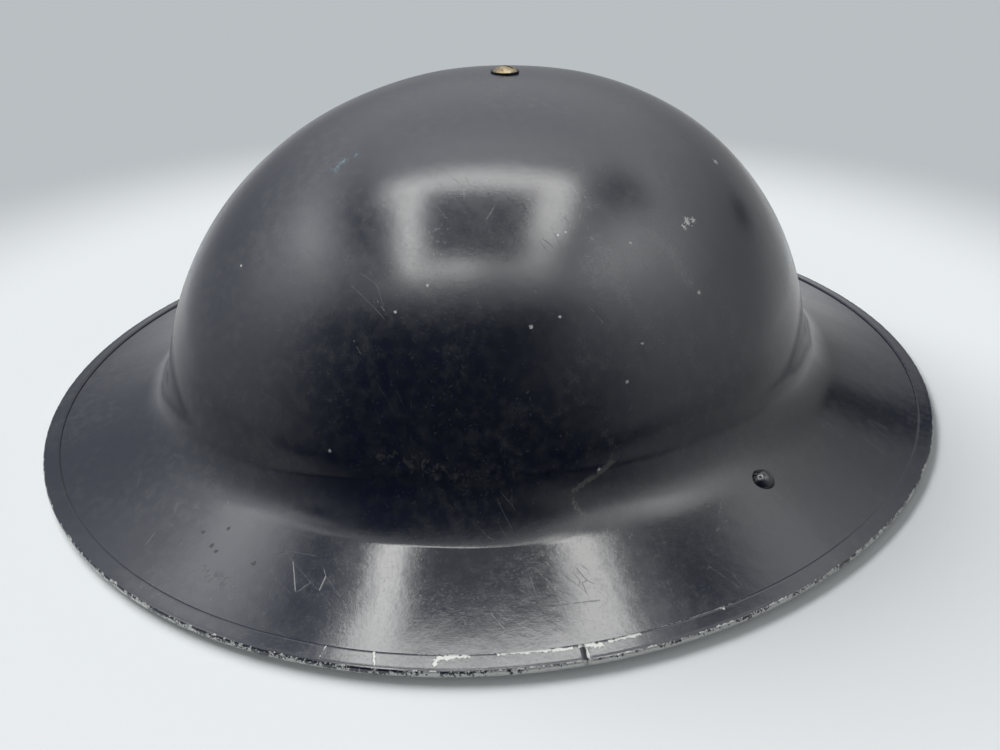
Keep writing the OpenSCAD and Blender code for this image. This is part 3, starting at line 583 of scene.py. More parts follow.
# patches: noise that is cut at a level and softened
patches, put, out = newGroup("patches", dict(Vector=None, Scale=50.0, Level=0.5, Softness=0.05, Detail=4.0),
                             "Mask")
low = maths(patches, "SUBTRACT", put["Level"], put["Softness"])
high = maths(patches, "ADD", put["Level"], put["Softness"])
cloud = noise(patches, put["Vector"], put["Scale"], put["Detail"], 0.6)
patches.links.new(spread(patches, cloud, low, high), out["Mask"])

# scratches: thin cell borders of a stretched and turned pattern, kept only inside patches
scratches, put, out = newGroup("scratches", dict(Vector=None, Scale=60.0, Turn=None, Stretch=(1, 8, 1),
                                                 Width=0.02, Amount=0.5), "Mask")
turned = addNode(scratches, "ShaderNodeMapping", {"Vector": put["Vector"], "Rotation": put["Turn"],
                                                  "Scale": put["Stretch"]}).outputs[0]
cells = addNode(scratches, "ShaderNodeTexVoronoi", {"Vector": turned, "Scale": put["Scale"]},
                feature="DISTANCE_TO_EDGE").outputs["Distance"]
line = spread(scratches, cells, put["Width"], 0.0)
cloud = noise(scratches, put["Vector"], times(scratches, put["Scale"], 0.9), 3.0)
level = maths(scratches, "SUBTRACT", 0.75, times(scratches, put["Amount"], 0.3))
kept = spread(scratches, cloud, level, maths(scratches, "ADD", level, 0.06))
scratches.links.new(times(scratches, line, kept), out["Mask"])


def edgeOff(tree, away, wide, rag, soft):
    # 1 within the width, less its rag, and 0 beyond it
    share = maths(tree, "ADD", maths(tree, "DIVIDE", away, wide), rag)
    return spread(tree, share, maths(tree, "SUBTRACT", 1.0, soft), 1.0, 1.0, 0.0)


# spot: a patch round one place, its border pushed in and out by the rag
spot, put, out = newGroup("spot", dict(Vector=None, Centre=None, Radius=0.003, Rag=0.0, Soft=0.15), "Mask")
away = vectorMaths(spot, "DISTANCE", put["Vector"], put["Centre"])["Value"]
spot.links.new(edgeOff(spot, away, put["Radius"], put["Rag"], put["Soft"]), out["Mask"])

# stroke: a line from one place to another; distance to the nearest point of the line over its half width
stroke, put, out = newGroup("stroke", dict(Vector=None, From=None, To=(1, 0, 0), Width=0.001, Rag=0.0,
                                           Soft=0.3), "Mask")
reach = vectorMaths(stroke, "SUBTRACT", put["To"], put["From"])[0]
ahead = vectorMaths(stroke, "SUBTRACT", put["Vector"], put["From"])[0]
part = maths(stroke, "DIVIDE", vectorMaths(stroke, "DOT_PRODUCT", ahead, reach)["Value"],
             vectorMaths(stroke, "DOT_PRODUCT", reach, reach)["Value"], clamp=True)
nearest = addNode(stroke, "ShaderNodeVectorMath", {0: reach, 3: part}, operation="SCALE").outputs[0]
away = vectorMaths(stroke, "DISTANCE", ahead, nearest)["Value"]
stroke.links.new(edgeOff(stroke, away, put["Width"], put["Rag"], put["Soft"]), out["Mask"])

# weave: over and under threads from the piece's own uv, as a height and a tone
weave, put, out = newGroup("weave", dict(Vector=None, Threads=900.0, Ribs=1400.0), "Height", "Tone")
parts = addNode(weave, "ShaderNodeSeparateXYZ", {0: put["Vector"]}).outputs
waves = [maths(weave, "SINE", times(weave, parts[n], times(weave, put[count], fullTurn)))
         for n, count in enumerate(("Threads", "Ribs"))]
over = times(weave, *waves)
fluff = times(weave, noise(weave, put["Vector"], 3000.0), 0.5)
weave.links.new(timesPlus(weave, over, 0.5, fluff), out["Height"])
weave.links.new(maths(weave, "MULTIPLY_ADD", over, 0.35, 0.5, clamp=True), out["Tone"])


def patch(t, place, scale, level=0.5, softness=0.2, detail=5.0):
    return use(t, patches, Vector=place, Scale=scale, Level=level, Softness=softness, Detail=detail)["Mask"]


def newMaterial(name, **constants):
    # a material with one Principled shader; constants go straight on its sockets
    material = bpy.data.materials.new(name)
    material.use_nodes = True
    t = material.node_tree
    t.nodes.clear()
    shader = addNode(t, "ShaderNodeBsdfPrincipled")
    for key, value in constants.items():
        shader.inputs[key.replace("_", " ")].default_value = value
    addNode(t, "ShaderNodeOutputMaterial", {"Surface": shader.outputs[0]})
    place = addNode(t, "ShaderNodeTexCoord").outputs["Object"]
    return material, t, shader.inputs, place


def bump(tree, height, strength, distance, normal=None):
    node = addNode(tree, "ShaderNodeBump", {"Height": height, "Strength": strength, "Distance": distance})
    if normal is not None:
        tree.links.new(normal, node.inputs["Normal"])
    return node.outputs[0]


def connect(tree, slots, **sources):
    # sources go to the shader's sockets of the same names
    for key, source in sources.items():
        tree.links.new(source, slots[key.replace("_", " ")])


print("node groups made:", len(bpy.data.node_groups))


# the paint: tones first, then how strongly each mark covers, then roughness
# the dusty tone also paints the sheen in the haze, and the chalky tone paints the light in the veil
paintSet = dict(
    deep=(0.0035, 0.0075, 0.024), grey=(0.017, 0.021, 0.032), dustAndSheen=(0.080, 0.084, 0.094),
    bare=(0.56, 0.57, 0.55), chalkAndPaintedLight=(0.13, 0.135, 0.15), scuffed=(0.085, 0.083, 0.08),
    scraped=(0.095, 0.102, 0.092), blue=(0.16, 0.28, 0.34), hollow=(0.006, 0.006, 0.007),
    cut=(0.26, 0.27, 0.28),
    dullLeast=0.15, dullMore=0.7, fleckLeast=0.10, fleckMore=0.34, film=0.16, lines=0.3, hazeAndSheen=0.42, paintedReflection=0.5,
    smear=0.55, scuff=0.30, scrape=0.62, blueShare=0.55, cutShare=0.45,
    gloss=0.07, dullRough=0.045, pitRough=0.02, pitFilmed=0.10, brushRough=0.16, filmRough=0.05,
    domeRough=0.105, domeFrom=0.026, domeTo=0.042, hazeAndSheenRough=0.12, markRough=0.42, bareRough=0.25,
    bareMetal=0.25, pitDepth=0.08, grainDepth=0.075, rippleDepth=0.05, markDepth=0.5,
)

# marks on the paint, in millimetres: spots are (place, radius), strokes are rows of places, whose half width
# stands in halfWidths; haze and veil are wide soft spots, the haze a dusty film with a painted sheen where
# the side light shows on the dome, the veil painted light in the dark middle of the lamps' reflection on the
# crown
shellMarks = dict(
    wideChips=((74.5, 4.9, 73.7, 1.1), (75.4, 2.4, 73.0, 0.7), (74.4, 7.4, 73.6, 0.8),
               (57.8, 37.5, 80.3, 0.8)),
    chips=((72.3, -51.0, 58.9, 0.5), (48.8, -75.6, 62.5, 0.35), (51.4, -67.2, 68.0, 0.35),
           (64.0, -34.3, 76.7, 0.4), (64.5, -32.0, 77.1, 0.35), (73.6, -17.0, 72.9, 0.4),
           (86.5, -2.7, 58.6, 0.5), (89.1, -32.8, 43.3, 0.45), (75.0, -43.7, 60.4, 0.4),
           (87.3, -25.7, 51.3, 0.35), (91.4, -44.2, 22.5, 0.4), (1.3, -93.0, 65.1, 0.4),
           (46.9, -97.1, 29.4, 0.4), (-88.0, 30.0, 44.0, 0.9), (-40.0, 86.0, 62.0, 0.8),
           (30.0, 92.0, 62.0, 0.6), (-66.0, -60.0, 62.0, 0.7), (-112.0, 60.0, 5.5, 0.8),
           (20.0, 136.0, 4.0, 0.9)),
    faintScrape=(((89.8, -41.9, 32.4), (91.8, -39.7, 28.1), (92.5, -40.4, 23.8)),),
    scrape=(((92.5, -40.4, 23.8), (91.7, -44.3, 21.6), (90.5, -48.5, 20.1), (89.8, -52.7, 17.9),
             (91.9, -53.1, 15.2), (94.8, -52.6, 13.2)),),
    smears=(((69.7, -25.6, 74.5), (75.8, -26.4, 67.8), (80.2, -25.7, 62.5)),
            ((73.8, -9.9, 73.9), (78.8, -6.3, 68.8), (84.4, -4.7, 61.5)),
            ((72.1, -30.6, 70.4), (75.6, -30.5, 66.6))),
    scratches=(((51.4, -48.3, 80.1), (49.8, -43.0, 83.4)), ((78.0, -35.4, 61.1), (80.9, -34.0, 57.8)),
               ((43.4, -77.6, 64.9), (47.6, -77.3, 61.9)), ((43.8, -85.3, 55.8), (48.1, -85.3, 51.6)),
               ((76.6, -59.9, 43.2), (77.8, -56.6, 44.7)), ((91.4, -34.0, 36.3), (91.6, -30.5, 38.7)),
               ((98.7, -87.6, 4.9), (103.9, -87.8, 3.7)), ((107.7, -73.2, 5.0), (112.7, -65.0, 4.8)),
               ((109.7, -17.0, 10.7), (112.0, -18.1, 9.6), (113.4, -20.4, 9.0)),
               ((116.0, -20.5, 8.0), (116.5, -25.6, 7.5)), ((-70.0, 70.0, 52.0), (-62.0, 80.0, 46.0)),
               ((-96.0, -20.0, 38.0), (-97.0, -8.0, 33.0)), ((-60.0, -30.0, 82.0), (-52.0, -26.0, 87.0))),
    scuffs=(((57.7, -88.8, 29.8), (61.7, -85.5, 29.1), (67.2, -80.7, 26.7), (72.6, -75.2, 24.6)),
            ((39.3, -131.9, 4.7), (51.5, -128.7, 4.3)), ((-84.0, -62.0, 30.0), (-76.0, -72.0, 27.0))),
    pits=((28.3, -126.6, 7.6, 0.5), (34.0, -127.0, 6.8, 0.6), (36.5, -127.2, 6.5, 0.5),
          (47.4, -122.3, 6.7, 0.6), (60.2, -49.1, 73.0, 0.7), (69.0, -46.2, 66.2, 0.6),
          (110.3, -21.4, 10.1, 0.7), (33.1, -121.6, 8.9, 0.5)),
    blue=((7.2, -64.6, 87.6, 1.6), (6.9, -61.7, 89.1, 1.4), (8.1, -59.0, 90.3, 1.5)),
    # the haze is a dusty film with painted sheen, and the veil is painted light in the lamps' reflection
    hazeAndSheen=((80.3, -16.2, 65.4, 46.0),), paintedReflection=((50.5, -47.0, 81.5, 17.0),),
    halfWidths=dict(smears=3.0, scuffs=3.4, scrape=1.05, faintScrape=1.2, scratches=0.15),
)
edgeMarks = dict(
    chips=((131.9, -42.9, 2.2, 0.9), (125.0, -64.2, 2.1, 0.8)),
    strokes=((((88.5, -114.1, 2.8), (92.8, -117.0, 1.6)), 0.255),
             (((100.8, -105.8, 2.3), (100.1, -104.3, 2.6)), 0.68),
             (((100.1, -104.3, 2.6), (104.2, -98.9, 2.6)), 0.595),
             (((108.4, -93.3, 2.7), (117.9, -79.5, 2.6)), 0.425),
             (((118.6, -77.6, 2.6), (121.8, -73.2, 2.5)), 0.68),
             (((120.0, -76.8, 2.6), (123.2, -78.4, 1.6)), 0.3825),
             (((122.2, -71.2, 2.6), (125.2, -64.4, 2.6)), 0.4675),
             (((80.0, -121.6, 2.6), (82.6, -126.0, 1.4)), 0.17)),
)


def largest(t, masks):
    total = masks[0]
    for mask in masks[1:]:
        total = maths(t, "MAXIMUM", total, mask)
    return total


def scaled(point):
    return tuple(c * mm for c in point)


def spots(t, place, rag, places, soft=0.2):
    return largest(t, [use(t, spot, Vector=place, Centre=scaled(p[:3]), Radius=p[3] * mm, Rag=rag,
                           Soft=soft)["Mask"] for p in places])


def strokes(t, place, rag, line, width, soft=0.35):
    return largest(t, [use(t, stroke, Vector=place, From=scaled(a), To=scaled(b), Width=width * mm, Rag=rag,
                           Soft=soft)["Mask"] for a, b in zip(line[:-1], line[1:])])


def ragged(t, place, scale, amount):
    # a value round nought that frays the borders of spots and strokes
    return times(t, maths(t, "SUBTRACT", noise(t, place, scale, 3.0, 0.65), 0.5), amount)


def enamel(t, place):
    # navy enamel before its marks: blotches of dull grey, flecks, thin lines, a film in patches, and pits
    # that break the gloss; gives back its colour and roughness, and three masks for its relief
    p = paintSet
    zone = spread(t, noise(t, place, 17.0), 0.36, 0.60)
    blotch = patch(t, place, 330.0, 0.54, 0.12, 8.0)
    speck = patch(t, place, 1100.0, 0.66, 0.03, 3.0)
    pit = patch(t, place, 1300.0, 0.64, 0.10, 4.0)
    film = patch(t, place, 60.0, 0.52, 0.12, 8.0)
    lines = use(t, scratches, Vector=place, Scale=60.0, Turn=(0.4, 0.2, 0.9), Stretch=(1, 4, 1), Width=0.010,
                Amount=0.5)["Mask"]
    level = vectorMaths(t, "MULTIPLY", place, (1.0, 1.0, 9.0))[0]
    brushed = maths(t, "SUBTRACT", noise(t, level, 420.0, 6.0, 0.8), 0.5)
    dull = times(t, blotch, timesPlus(t, zone, p["dullMore"], p["dullLeast"]))
    flecks = times(t, speck, timesPlus(t, zone, p["fleckMore"], p["fleckLeast"]))
    colour = mixColour(t, dull, p["deep"], p["grey"])
    for mask in (flecks, times(t, film, blotch, p["film"]), times(t, lines, p["lines"])):
        colour = mixColour(t, mask, colour, p["dustAndSheen"])
    rough = timesPlus(t, dull, p["dullRough"], p["gloss"])
    rough = maths(t, "ADD", rough, times(t, pit, timesPlus(t, film, p["pitFilmed"], p["pitRough"])))
    rough = timesPlus(t, brushed, p["brushRough"], rough)
    rough = timesPlus(t, times(t, film, zone), p["filmRough"], rough)
    height = addNode(t, "ShaderNodeSeparateXYZ", {0: place}).outputs[2]
    rough = timesPlus(t, spread(t, height, p["domeFrom"], p["domeTo"]), p["domeRough"], rough)
    return colour, rough, times(t, pit, p["pitDepth"]), brushed, lines


def edgeChips(t, place):
    # bare steel along the edging, where noise and the piece's own wear together pass one, and its marks
    wear = addNode(t, "ShaderNodeAttribute", attribute_name="wear").outputs["Fac"]
    amount = timesPlus(t, noise(t, place, 620.0, 5.0, 0.7), 0.55, -0.20)
    amount = timesPlus(t, noise(t, place, 120.0, 3.0, 0.6), 0.45, amount)
    amount = timesPlus(t, noise(t, place, 1700.0, 3.0), 0.50, amount)
    rubbed = spread(t, maths(t, "ADD", amount, wear), 1.0, 1.03)
    rag = ragged(t, place, 1000.0, 4.6)
    lines = [strokes(t, place, rag, line, width) for line, width in edgeMarks["strokes"]]
    return largest(t, [rubbed, spots(t, place, rag, edgeMarks["chips"])] + lines)


def shellWearAndPaintedLight(t, place, colour, rough, sunk):
    # the shell's marks over its enamel, from wide and faint to small and deep, with painted light among them:
    # the haze's sheen and the veil's lifted reflection
    p, k = paintSet, shellMarks
    fine, streak = ragged(t, place, 2600.0, 3.6), ragged(t, place, 420.0, 3.6)

    def cloud(scale, detail, grain, low, high, least=0.0):
        return spread(t, noise(t, place, scale, detail, grain), low, high, least)

    def lines(title, rag, soft):
        return largest(t, [strokes(t, place, rag, line, k["halfWidths"][title], soft) for line in k[title]])

    crumbs = cloud(520.0, 6.0, 0.75, 0.44, 0.58)
    # painted sheen over a dusty film: the haze lightens the dome's upper right, where the side light shows,
    # toward the dusty tone and makes it rougher
    hazeAndSheen = times(t, spots(t, place, 0.0, k["hazeAndSheen"], 0.9), cloud(75.0, 7.0, 0.65, 0.32, 0.75))
    # painted reflection: the veil is a speckled pale patch that lifts the dark middle of the lamps' frame
    # where the crown mirrors it
    paintedReflection = times(t, spots(t, place, 0.0, k["paintedReflection"], 0.9), cloud(260.0, 8.0, 0.7, 0.36, 0.62, 0.3))
    smear = times(t, lines("smears", streak, 1.0), cloud(900.0, 4.0, 0.7, 0.38, 0.62, 0.35))
    scuff = times(t, lines("scuffs", streak, 1.0), crumbs)
    scrape = maths(t, "MAXIMUM", lines("scrape", ragged(t, place, 500.0, 2.4), 0.6),
                   times(t, lines("faintScrape", streak, 0.9), 0.4))
    scrape = times(t, scrape, cloud(800.0, 4.0, 0.7, 0.36, 0.52, 0.25))
    blue = times(t, spots(t, place, fine, k["blue"], 0.3), crumbs)
    hole = spots(t, place, fine, k["pits"], 0.3)
    cut = times(t, lines("scratches", times(t, fine, 0.6), 0.7), cloud(700.0, 3.0, 0.5, 0.40, 0.56))
    chip = maths(t, "MAXIMUM", spots(t, place, fine, k["chips"]),
                 spots(t, place, ragged(t, place, 1500.0, 5.5), k["wideChips"]))
    # the haze and veil rows paint light into the colour: a sheen on the dome and a lifted reflection on the
    # crown
    for mask, share, tone in ((hazeAndSheen, p["hazeAndSheen"], p["dustAndSheen"]), (paintedReflection, p["paintedReflection"], p["chalkAndPaintedLight"]),
                              (smear, p["smear"], p["chalkAndPaintedLight"]), (scuff, p["scuff"], p["scuffed"]),
                              (scrape, p["scrape"], p["scraped"]), (blue, p["blueShare"], p["blue"]),
                              (hole, 1.0, p["hollow"]), (cut, p["cutShare"], p["cut"])):
        colour = mixColour(t, times(t, mask, share), colour, tone)
    rough = timesPlus(t, hazeAndSheen, p["hazeAndSheenRough"], rough)
    marks = largest(t, [scrape, smear, scuff, hole])
    rough = maths(t, "MAXIMUM", rough, times(t, marks, p["markRough"]))
    sunk = maths(t, "ADD", sunk, maths(t, "ADD", hole, cut))
    return colour, rough, sunk, chip


def paintMaterial(name, edging):
    # enamel with its wear, and on the shell some painted light, chipped to the bare steel
    p = paintSet
    m, t, slots, place = newMaterial(name, Specular_IOR_Level=1.0, IOR=1.5)
    colour, rough, sunk, brushed, lines = enamel(t, place)
    if edging:
        chip = edgeChips(t, place)
    else:
        colour, rough, sunk, chip = shellWearAndPaintedLight(t, place, colour, rough, sunk)
    grain = timesPlus(t, noise(t, place, 1500.0, 4.0, 0.7), 0.6, brushed)
    grain = bump(t, grain, p["grainDepth"], 0.0002)
    ripple = bump(t, noise(t, place, 150.0, 3.0), p["rippleDepth"], 0.001, grain)
    sunk = maths(t, "ADD", sunk, maths(t, "ADD", chip, times(t, lines, 0.4)))
    connect(t, slots, Base_Color=mixColour(t, chip, colour, p["bare"]),
            Roughness=timesPlus(t, chip, p["bareRough"], rough), Metallic=times(t, chip, p["bareMetal"]),
            Normal=bump(t, sunk, p["markDepth"], -0.0001, ripple))
    return m


def plainMetal(name, colour, dark, rough, scale=500.0):
    # metal whose tone and roughness change in patches, with fine scratches
    m, t, slots, place = newMaterial(name, Metallic=1.0)
    stain = patch(t, place, scale)
    lines = use(t, scratches, Vector=place, Scale=scale * 0.6, Stretch=(1, 6, 1), Width=0.03,
                Amount=0.8)["Mask"]
    tone = mixColour(t, times(t, lines, 0.5), mixColour(t, stain, colour, dark), colour)
    grain = maths(t, "SUBTRACT", noise(t, place, scale * 3, 3.0), lines)
    connect(t, slots, Base_Color=tone, Roughness=timesPlus(t, stain, 0.2, rough),
            Normal=bump(t, grain, 0.15, 0.0001))
    return m


def clothMaterial(name, light, dark, threads, ribs):
    # woven cloth on the piece's own uv, with grime in patches
    m, t, slots, place = newMaterial(name, Roughness=0.85, Specular_IOR_Level=0.25)
    woven = use(t, weave, Vector=addNode(t, "ShaderNodeUVMap").outputs[0], Threads=threads, Ribs=ribs)
    grime = times(t, patch(t, place, 70.0), 0.5)
    dirty = tuple(c * 0.55 for c in light)
    connect(t, slots, Base_Color=mixColour(t, grime, mixColour(t, woven["Tone"], dark, light), dirty),
            Normal=bump(t, woven["Height"], 0.6, 0.0003))
    return m


def coatedMaterial(name, colour, worn, scale, rough, deep=0.0002):
    # a skin with pebbled grain, rubbed paler in patches
    m, t, slots, place = newMaterial(name, Specular_IOR_Level=0.5)
    cells = addNode(t, "ShaderNodeTexVoronoi", {"Vector": place, "Scale": scale}, feature="DISTANCE_TO_EDGE")
    pebble = spread(t, cells.outputs["Distance"], 0.0, 0.12)
    rub = patch(t, place, 60.0, 0.55, 0.15, 6.0)
    connect(t, slots, Base_Color=mixColour(t, times(t, rub, 0.6), colour, worn),
            Roughness=timesPlus(t, rub, 0.18, rough), Normal=bump(t, pebble, 0.35, deep))
    return m


# metals: tone, dark tone, roughness, patches per metre; coated: tone, rubbed tone, pebbles per metre,
# roughness, depth in metres; cloth: tone, dark tone, threads and ribs per metre
shellPaint = paintMaterial("navyPaint", False)
edgePaint = paintMaterial("chippedEdging", True)
brass = plainMetal("agedBrass", (0.46, 0.38, 0.24), (0.20, 0.16, 0.10), 0.28, 700.0)
washerPaint = plainMetal("washerBlack", (0.03, 0.03, 0.032), (0.012, 0.012, 0.014), 0.4)
zincPlate = plainMetal("zincPlate", (0.50, 0.51, 0.52), (0.28, 0.28, 0.29), 0.35)
rivetMetal = plainMetal("rivetMetal", (0.46, 0.44, 0.39), (0.20, 0.18, 0.15), 0.35, 900.0)
wireMetal = plainMetal("loopWire", (0.26, 0.26, 0.27), (0.09, 0.08, 0.075), 0.35, 900.0)
slideBrass = plainMetal("slideBrass", (0.50, 0.37, 0.18), (0.22, 0.15, 0.07), 0.32, 600.0)
oilcloth = coatedMaterial("oilcloth", (0.020, 0.018, 0.016), (0.055, 0.05, 0.045), 900.0, 0.38)
rubber = coatedMaterial("bufferRubber", (0.022, 0.022, 0.024), (0.06, 0.06, 0.058), 2500.0, 0.55, 0.0001)
fibre = coatedMaterial("fibreBoard", (0.085, 0.05, 0.028), (0.14, 0.09, 0.055), 1600.0, 0.5, 0.0001)
felt = coatedMaterial("pressedFelt", (0.075, 0.068, 0.06), (0.13, 0.12, 0.105), 1300.0, 0.95, 0.0005)
webbing = clothMaterial("webbing", (0.30, 0.26, 0.16), (0.16, 0.135, 0.08), 420.0, 640.0)
thread = clothMaterial("thread", (0.32, 0.29, 0.21), (0.2, 0.18, 0.13), 2500.0, 2500.0)
print("materials made:", len(bpy.data.materials))


def dress(thing, material, body, *replaced, slot=None):
    thing.data.materials.clear()
    thing.data.materials.append(material)
    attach(thing, body)
    if replaced:
        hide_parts(*replaced)
    return thing


# the shell: its grid, and how far inside the rim the hand work starts, in millimetres
shell = dict(stepAngle=1.25, bowlSteps=74, flareSteps=22, brimSteps=14, evenRim=5, evenFade=14)


def brimInset(points):
    # distance inside the rim, measured along the radius
    return rimAt(np.arctan2(points[..., 1], points[..., 0])) - np.hypot(points[..., 0], points[..., 1])


def makeShell():
    # closed skin: outside from the crown to the cut edge, then the inside back to the crown
    s = shell
    angle = degrees(np.arange(0, 360, s["stepAngle"]))
    r, z = sheetLine(angle, s["bowlSteps"], s["flareSteps"], s["brimSteps"])
    innerR, innerZ = beside(r, z, -helmet["sheet"])
    innerR[:, 0], innerZ[:, 0] = 0, helmet["crown"] - helmet["sheet"]
    innerR = np.maximum(innerR, 0)
    outside, inside = aroundAxis(angle, r, z), aroundAxis(angle, innerR, innerZ)
    amount = handWork(outside) * smooth((brimInset(outside) - s["evenRim"]) / s["evenFade"])
    push = unit(outside * (1, 1, 1.4)) * amount[..., None]
    grid = np.concatenate([outside + push, (inside + push)[:, ::-1]], 1)
    return surface("helmetShell", grid, wrapU=True, weld=True)


dress(makeShell(), shellPaint, "root", "shell", slot="shell_paint")
print("shell made")

# the folded edging. Rows run from its lip on the brim, over the fold, to the inside under the brim; square
# below 1 gives the round of the fold fuller shoulders; a worn place is (bearing, half, fade, wear)
edging = dict(
    steps=720, square=0.62, lipRows=3, outsideFrom=8.5, outsideFade=6.0, foldRow=14.0, foldHalf=1.6,
    underFrom=16.0, underFade=4.0, insideFrom=27,
    lipWear=0.05, lipWaves=0.12, lipWorn=((327, 12, 10, 0.24), (345, 6, 10, 0.16), (313, 6, 10, 0.16)),
    outsideWear=0.37, outsideWaves=0.06, underWear=0.10,
    outsideWorn=((264, 18, 14, 0.05), (318, 12, 14, 0.04), (362, 34, 14, 0.07)),
    dentLong=0.05, dentShort=0.04,
)


def edgingSection(angle):
    # a C-shaped strip: over the sheet, round the fold, flat under it, and back inside; radius and height
    h = helmet
    tilt = math.atan(h["rimSlope"])
    up = (math.sin(tilt), math.cos(tilt))
    a = angle[:, None]
    rim = rimAt(a)

    def onBrim(insets, lift):
        d = np.array(insets, float)[None]
        return rim - d + up[0] * lift, brimHeight(a, d) + up[1] * lift

    def onArc(turns, radius):
        r, z = onBrim([foldRadius], -h["sheet"] / 2)
        along, rise = np.cos(degrees(turns)[None]), np.sin(degrees(turns)[None])
        return (r + radius * np.sign(along) * np.abs(along) ** edging["square"],
                z + radius * np.sign(rise) * np.abs(rise) ** edging["square"])

    t, play, w = h["bandThick"], h["bandPlay"], h["bandWidth"]
    under = -h["sheet"] - play
    parts = [
        onBrim([w, w - 0.1], play + 0.2), onBrim([w - 0.22], play + t - 0.05),
        onBrim(np.linspace(w - 0.4, foldRadius + 0.1, 9), play + t),
        onArc(np.linspace(76, -68, 12), foldRadius), onArc([-80, -90, -100], foldRadius),
        onBrim(np.linspace(foldRadius + 0.4, w * 0.9, 5), under - t), onBrim([w * 0.9], under),
        onBrim(np.linspace(w * 0.9 - 0.3, foldRadius + 0.2, 3), under),
        onArc([-90, -30, 30, 80], h["sheet"] / 2 + play),
        onBrim(np.linspace(foldRadius + 0.3, w - 0.1, 4), play), onBrim([w], play),
    ]
    return [np.concatenate([part[n] + 0 * a for part in parts], 1) for n in (0, 1)]


def makeEdging():
    # the strip carried round the rim from one side of its butt joint to the other, dented along the fold
    e = edging
    middle = helmet["buttAngle"]
    half = math.degrees(helmet["buttGap"] / 2 / rimAt(degrees(middle)))
    angle = degrees(np.linspace(middle + half, middle + 360 - half, e["steps"]))
    r, z = edgingSection(angle)
    grid = aroundAxis(angle, r, z.clip(0))
    bearing = np.degrees(angle)[:, None] % 360
    row = np.arange(r.shape[1])[None]

    def worn(places):
        total = 0
        for at, width, fade, gain in places:
            away = np.abs((bearing - at + 180) % 360 - 180)
            total = total + gain * (1 - smooth((away - width) / fade))
        return total

    lip = (row < e["lipRows"]) * 1.0
    outside = smooth((row - e["outsideFrom"]) / e["outsideFade"]) * (row < e["insideFrom"])
    under = smooth((row - e["underFrom"]) / e["underFade"]) * (row < e["insideFrom"])
    fold = np.exp(-((row - e["foldRow"]) / e["foldHalf"]) ** 2)
    slow = 0.5 + 0.5 * np.sin(degrees(bearing) * 5 + 1) * np.sin(degrees(bearing) * 3)
    wear = (lip * (e["lipWear"] + e["lipWaves"] * slow + worn(e["lipWorn"]))
            + outside * (e["outsideWear"] + e["outsideWaves"] * slow + worn(e["outsideWorn"]))
            + under * e["underWear"])
    dents = (e["dentLong"] * np.sin(bearing * 1.7) * np.sin(bearing * 0.63 + 1)
             + e["dentShort"] * np.sin(bearing * 5.1))
    grid = grid + unit(grid * (1, 1, 0)) * (dents * fold)[..., None]
    return surface("rimEdging", grid, wrapV=True, caps=True, size=(0.93, 0.02), fields={"wear": wear})


dress(makeEdging(), edgePaint, "root", "rim_band", slot="edging_paint")
print("edging made")

# nodes that keep the form the CAD gave them, in their own materials
plainNodes = {
    "crown_screw": brass, "crown_nut": brass, "crown_washer": washerPaint, "crown_plate": zincPlate,
    "buffer_rivets": rivetMetal, "strap_rivets": rivetMetal, "webbing_end_rivets": rivetMetal,
    "lug_plate_left": shellPaint, "lug_plate_right": shellPaint, "lug_rivet_left": shellPaint,
    "lug_rivet_right": shellPaint, "lug_loop_left": wireMetal, "lug_loop_right": wireMetal,
    "strap_slide": slideBrass,
}
for name, material in plainNodes.items():
    nodes[name].data.materials.clear()
    nodes[name].data.materials.append(material)

# the liner, in millimetres; seat is the gap between pieces that touch
liner = dict(
    length=197, width=160, foot=18, height=36, thick=1.5, sweatThick=1.1, sweatGap=1.9, sweatTop=3,
    roomEnd=6.8, roomSide=11.8, strapWidth=28, strapThick=1.5, strapLow=20, bufferHeight=14, bufferHalf=12,
    bufferRound=1.5, bufferTaper=0.3, bufferShoulder=0.14, seat=0.3, crownY=3.5, plateWide=26,
    padWide=84, padThick=10, padInset=0.15, padDip=3, padDipCurve=1.6, padEdge=0.93, padRound=0.85,
    sweatTurn=1.6, puckers=9, puckerDepth=0.35, puckerFade=12, seamLow=3.0, seamHigh=6.0,
    stitch=(4.0, 2.7, 0.55),
)


def wallRadius(angle, z):
    # inside of the bowl at a height
    share = (1 - (z / helmet["crown"]) ** helmet["curve"]) ** (1 / helmet["curve"])
    return bowlAt(angle) * share - helmet["sheet"] * 1.05


linerTop = liner["foot"] + liner["height"]
leanSide = liner["width"] / 2 + liner["roomSide"] - wallRadius(0.0, linerTop)
leanEnd = liner["length"] / 2 + liner["roomEnd"] - wallRadius(np.pi / 2, linerTop)


def frameRadius(angle, z):
    # the frame's outside: an ellipse that leans in with height
    share = (z - liner["foot"]) / liner["height"]
    a, b = liner["width"] / 2 - leanSide * share, liner["length"] / 2 - leanEnd * share
    return 1 / np.sqrt((np.cos(angle) / a) ** 2 + (np.sin(angle) / b) ** 2)


def ringPiece(name, profile, steps=192, drawn=None):
    # a closed band: profile is (offset from the frame's outside, height), carried round the ellipse and
    # drawn in by the last argument, a function of angle and height
    angle = degrees(np.linspace(0, 360, steps, endpoint=False))
    offset, z = np.array(profile, float).T
    r = frameRadius(angle[:, None], z[None]) + offset[None]
    if drawn:
        r = r - drawn(angle[:, None], z[None])
    return surface(name, aroundAxis(angle, r, z[None]), wrapU=True, wrapV=True, size=(0.56, 0.09))


def roundedBand(inner, outer, low, high, corner=0.4, steps=9):
    # profile of an upright strip with rounded edges
    c = corner
    rise = np.linspace(low + c, high - c, steps)
    k = c * 0.3
    top = [(outer - k, high - k), (outer - c, high), (inner + c, high), (inner + k, high - k)]
    bottom = [(inner + k, low + k), (inner + c, low), (outer - c, low), (outer - k, low + k)]
    return [(outer, z) for z in rise] + top + [(inner, z) for z in rise[::-1]] + bottom


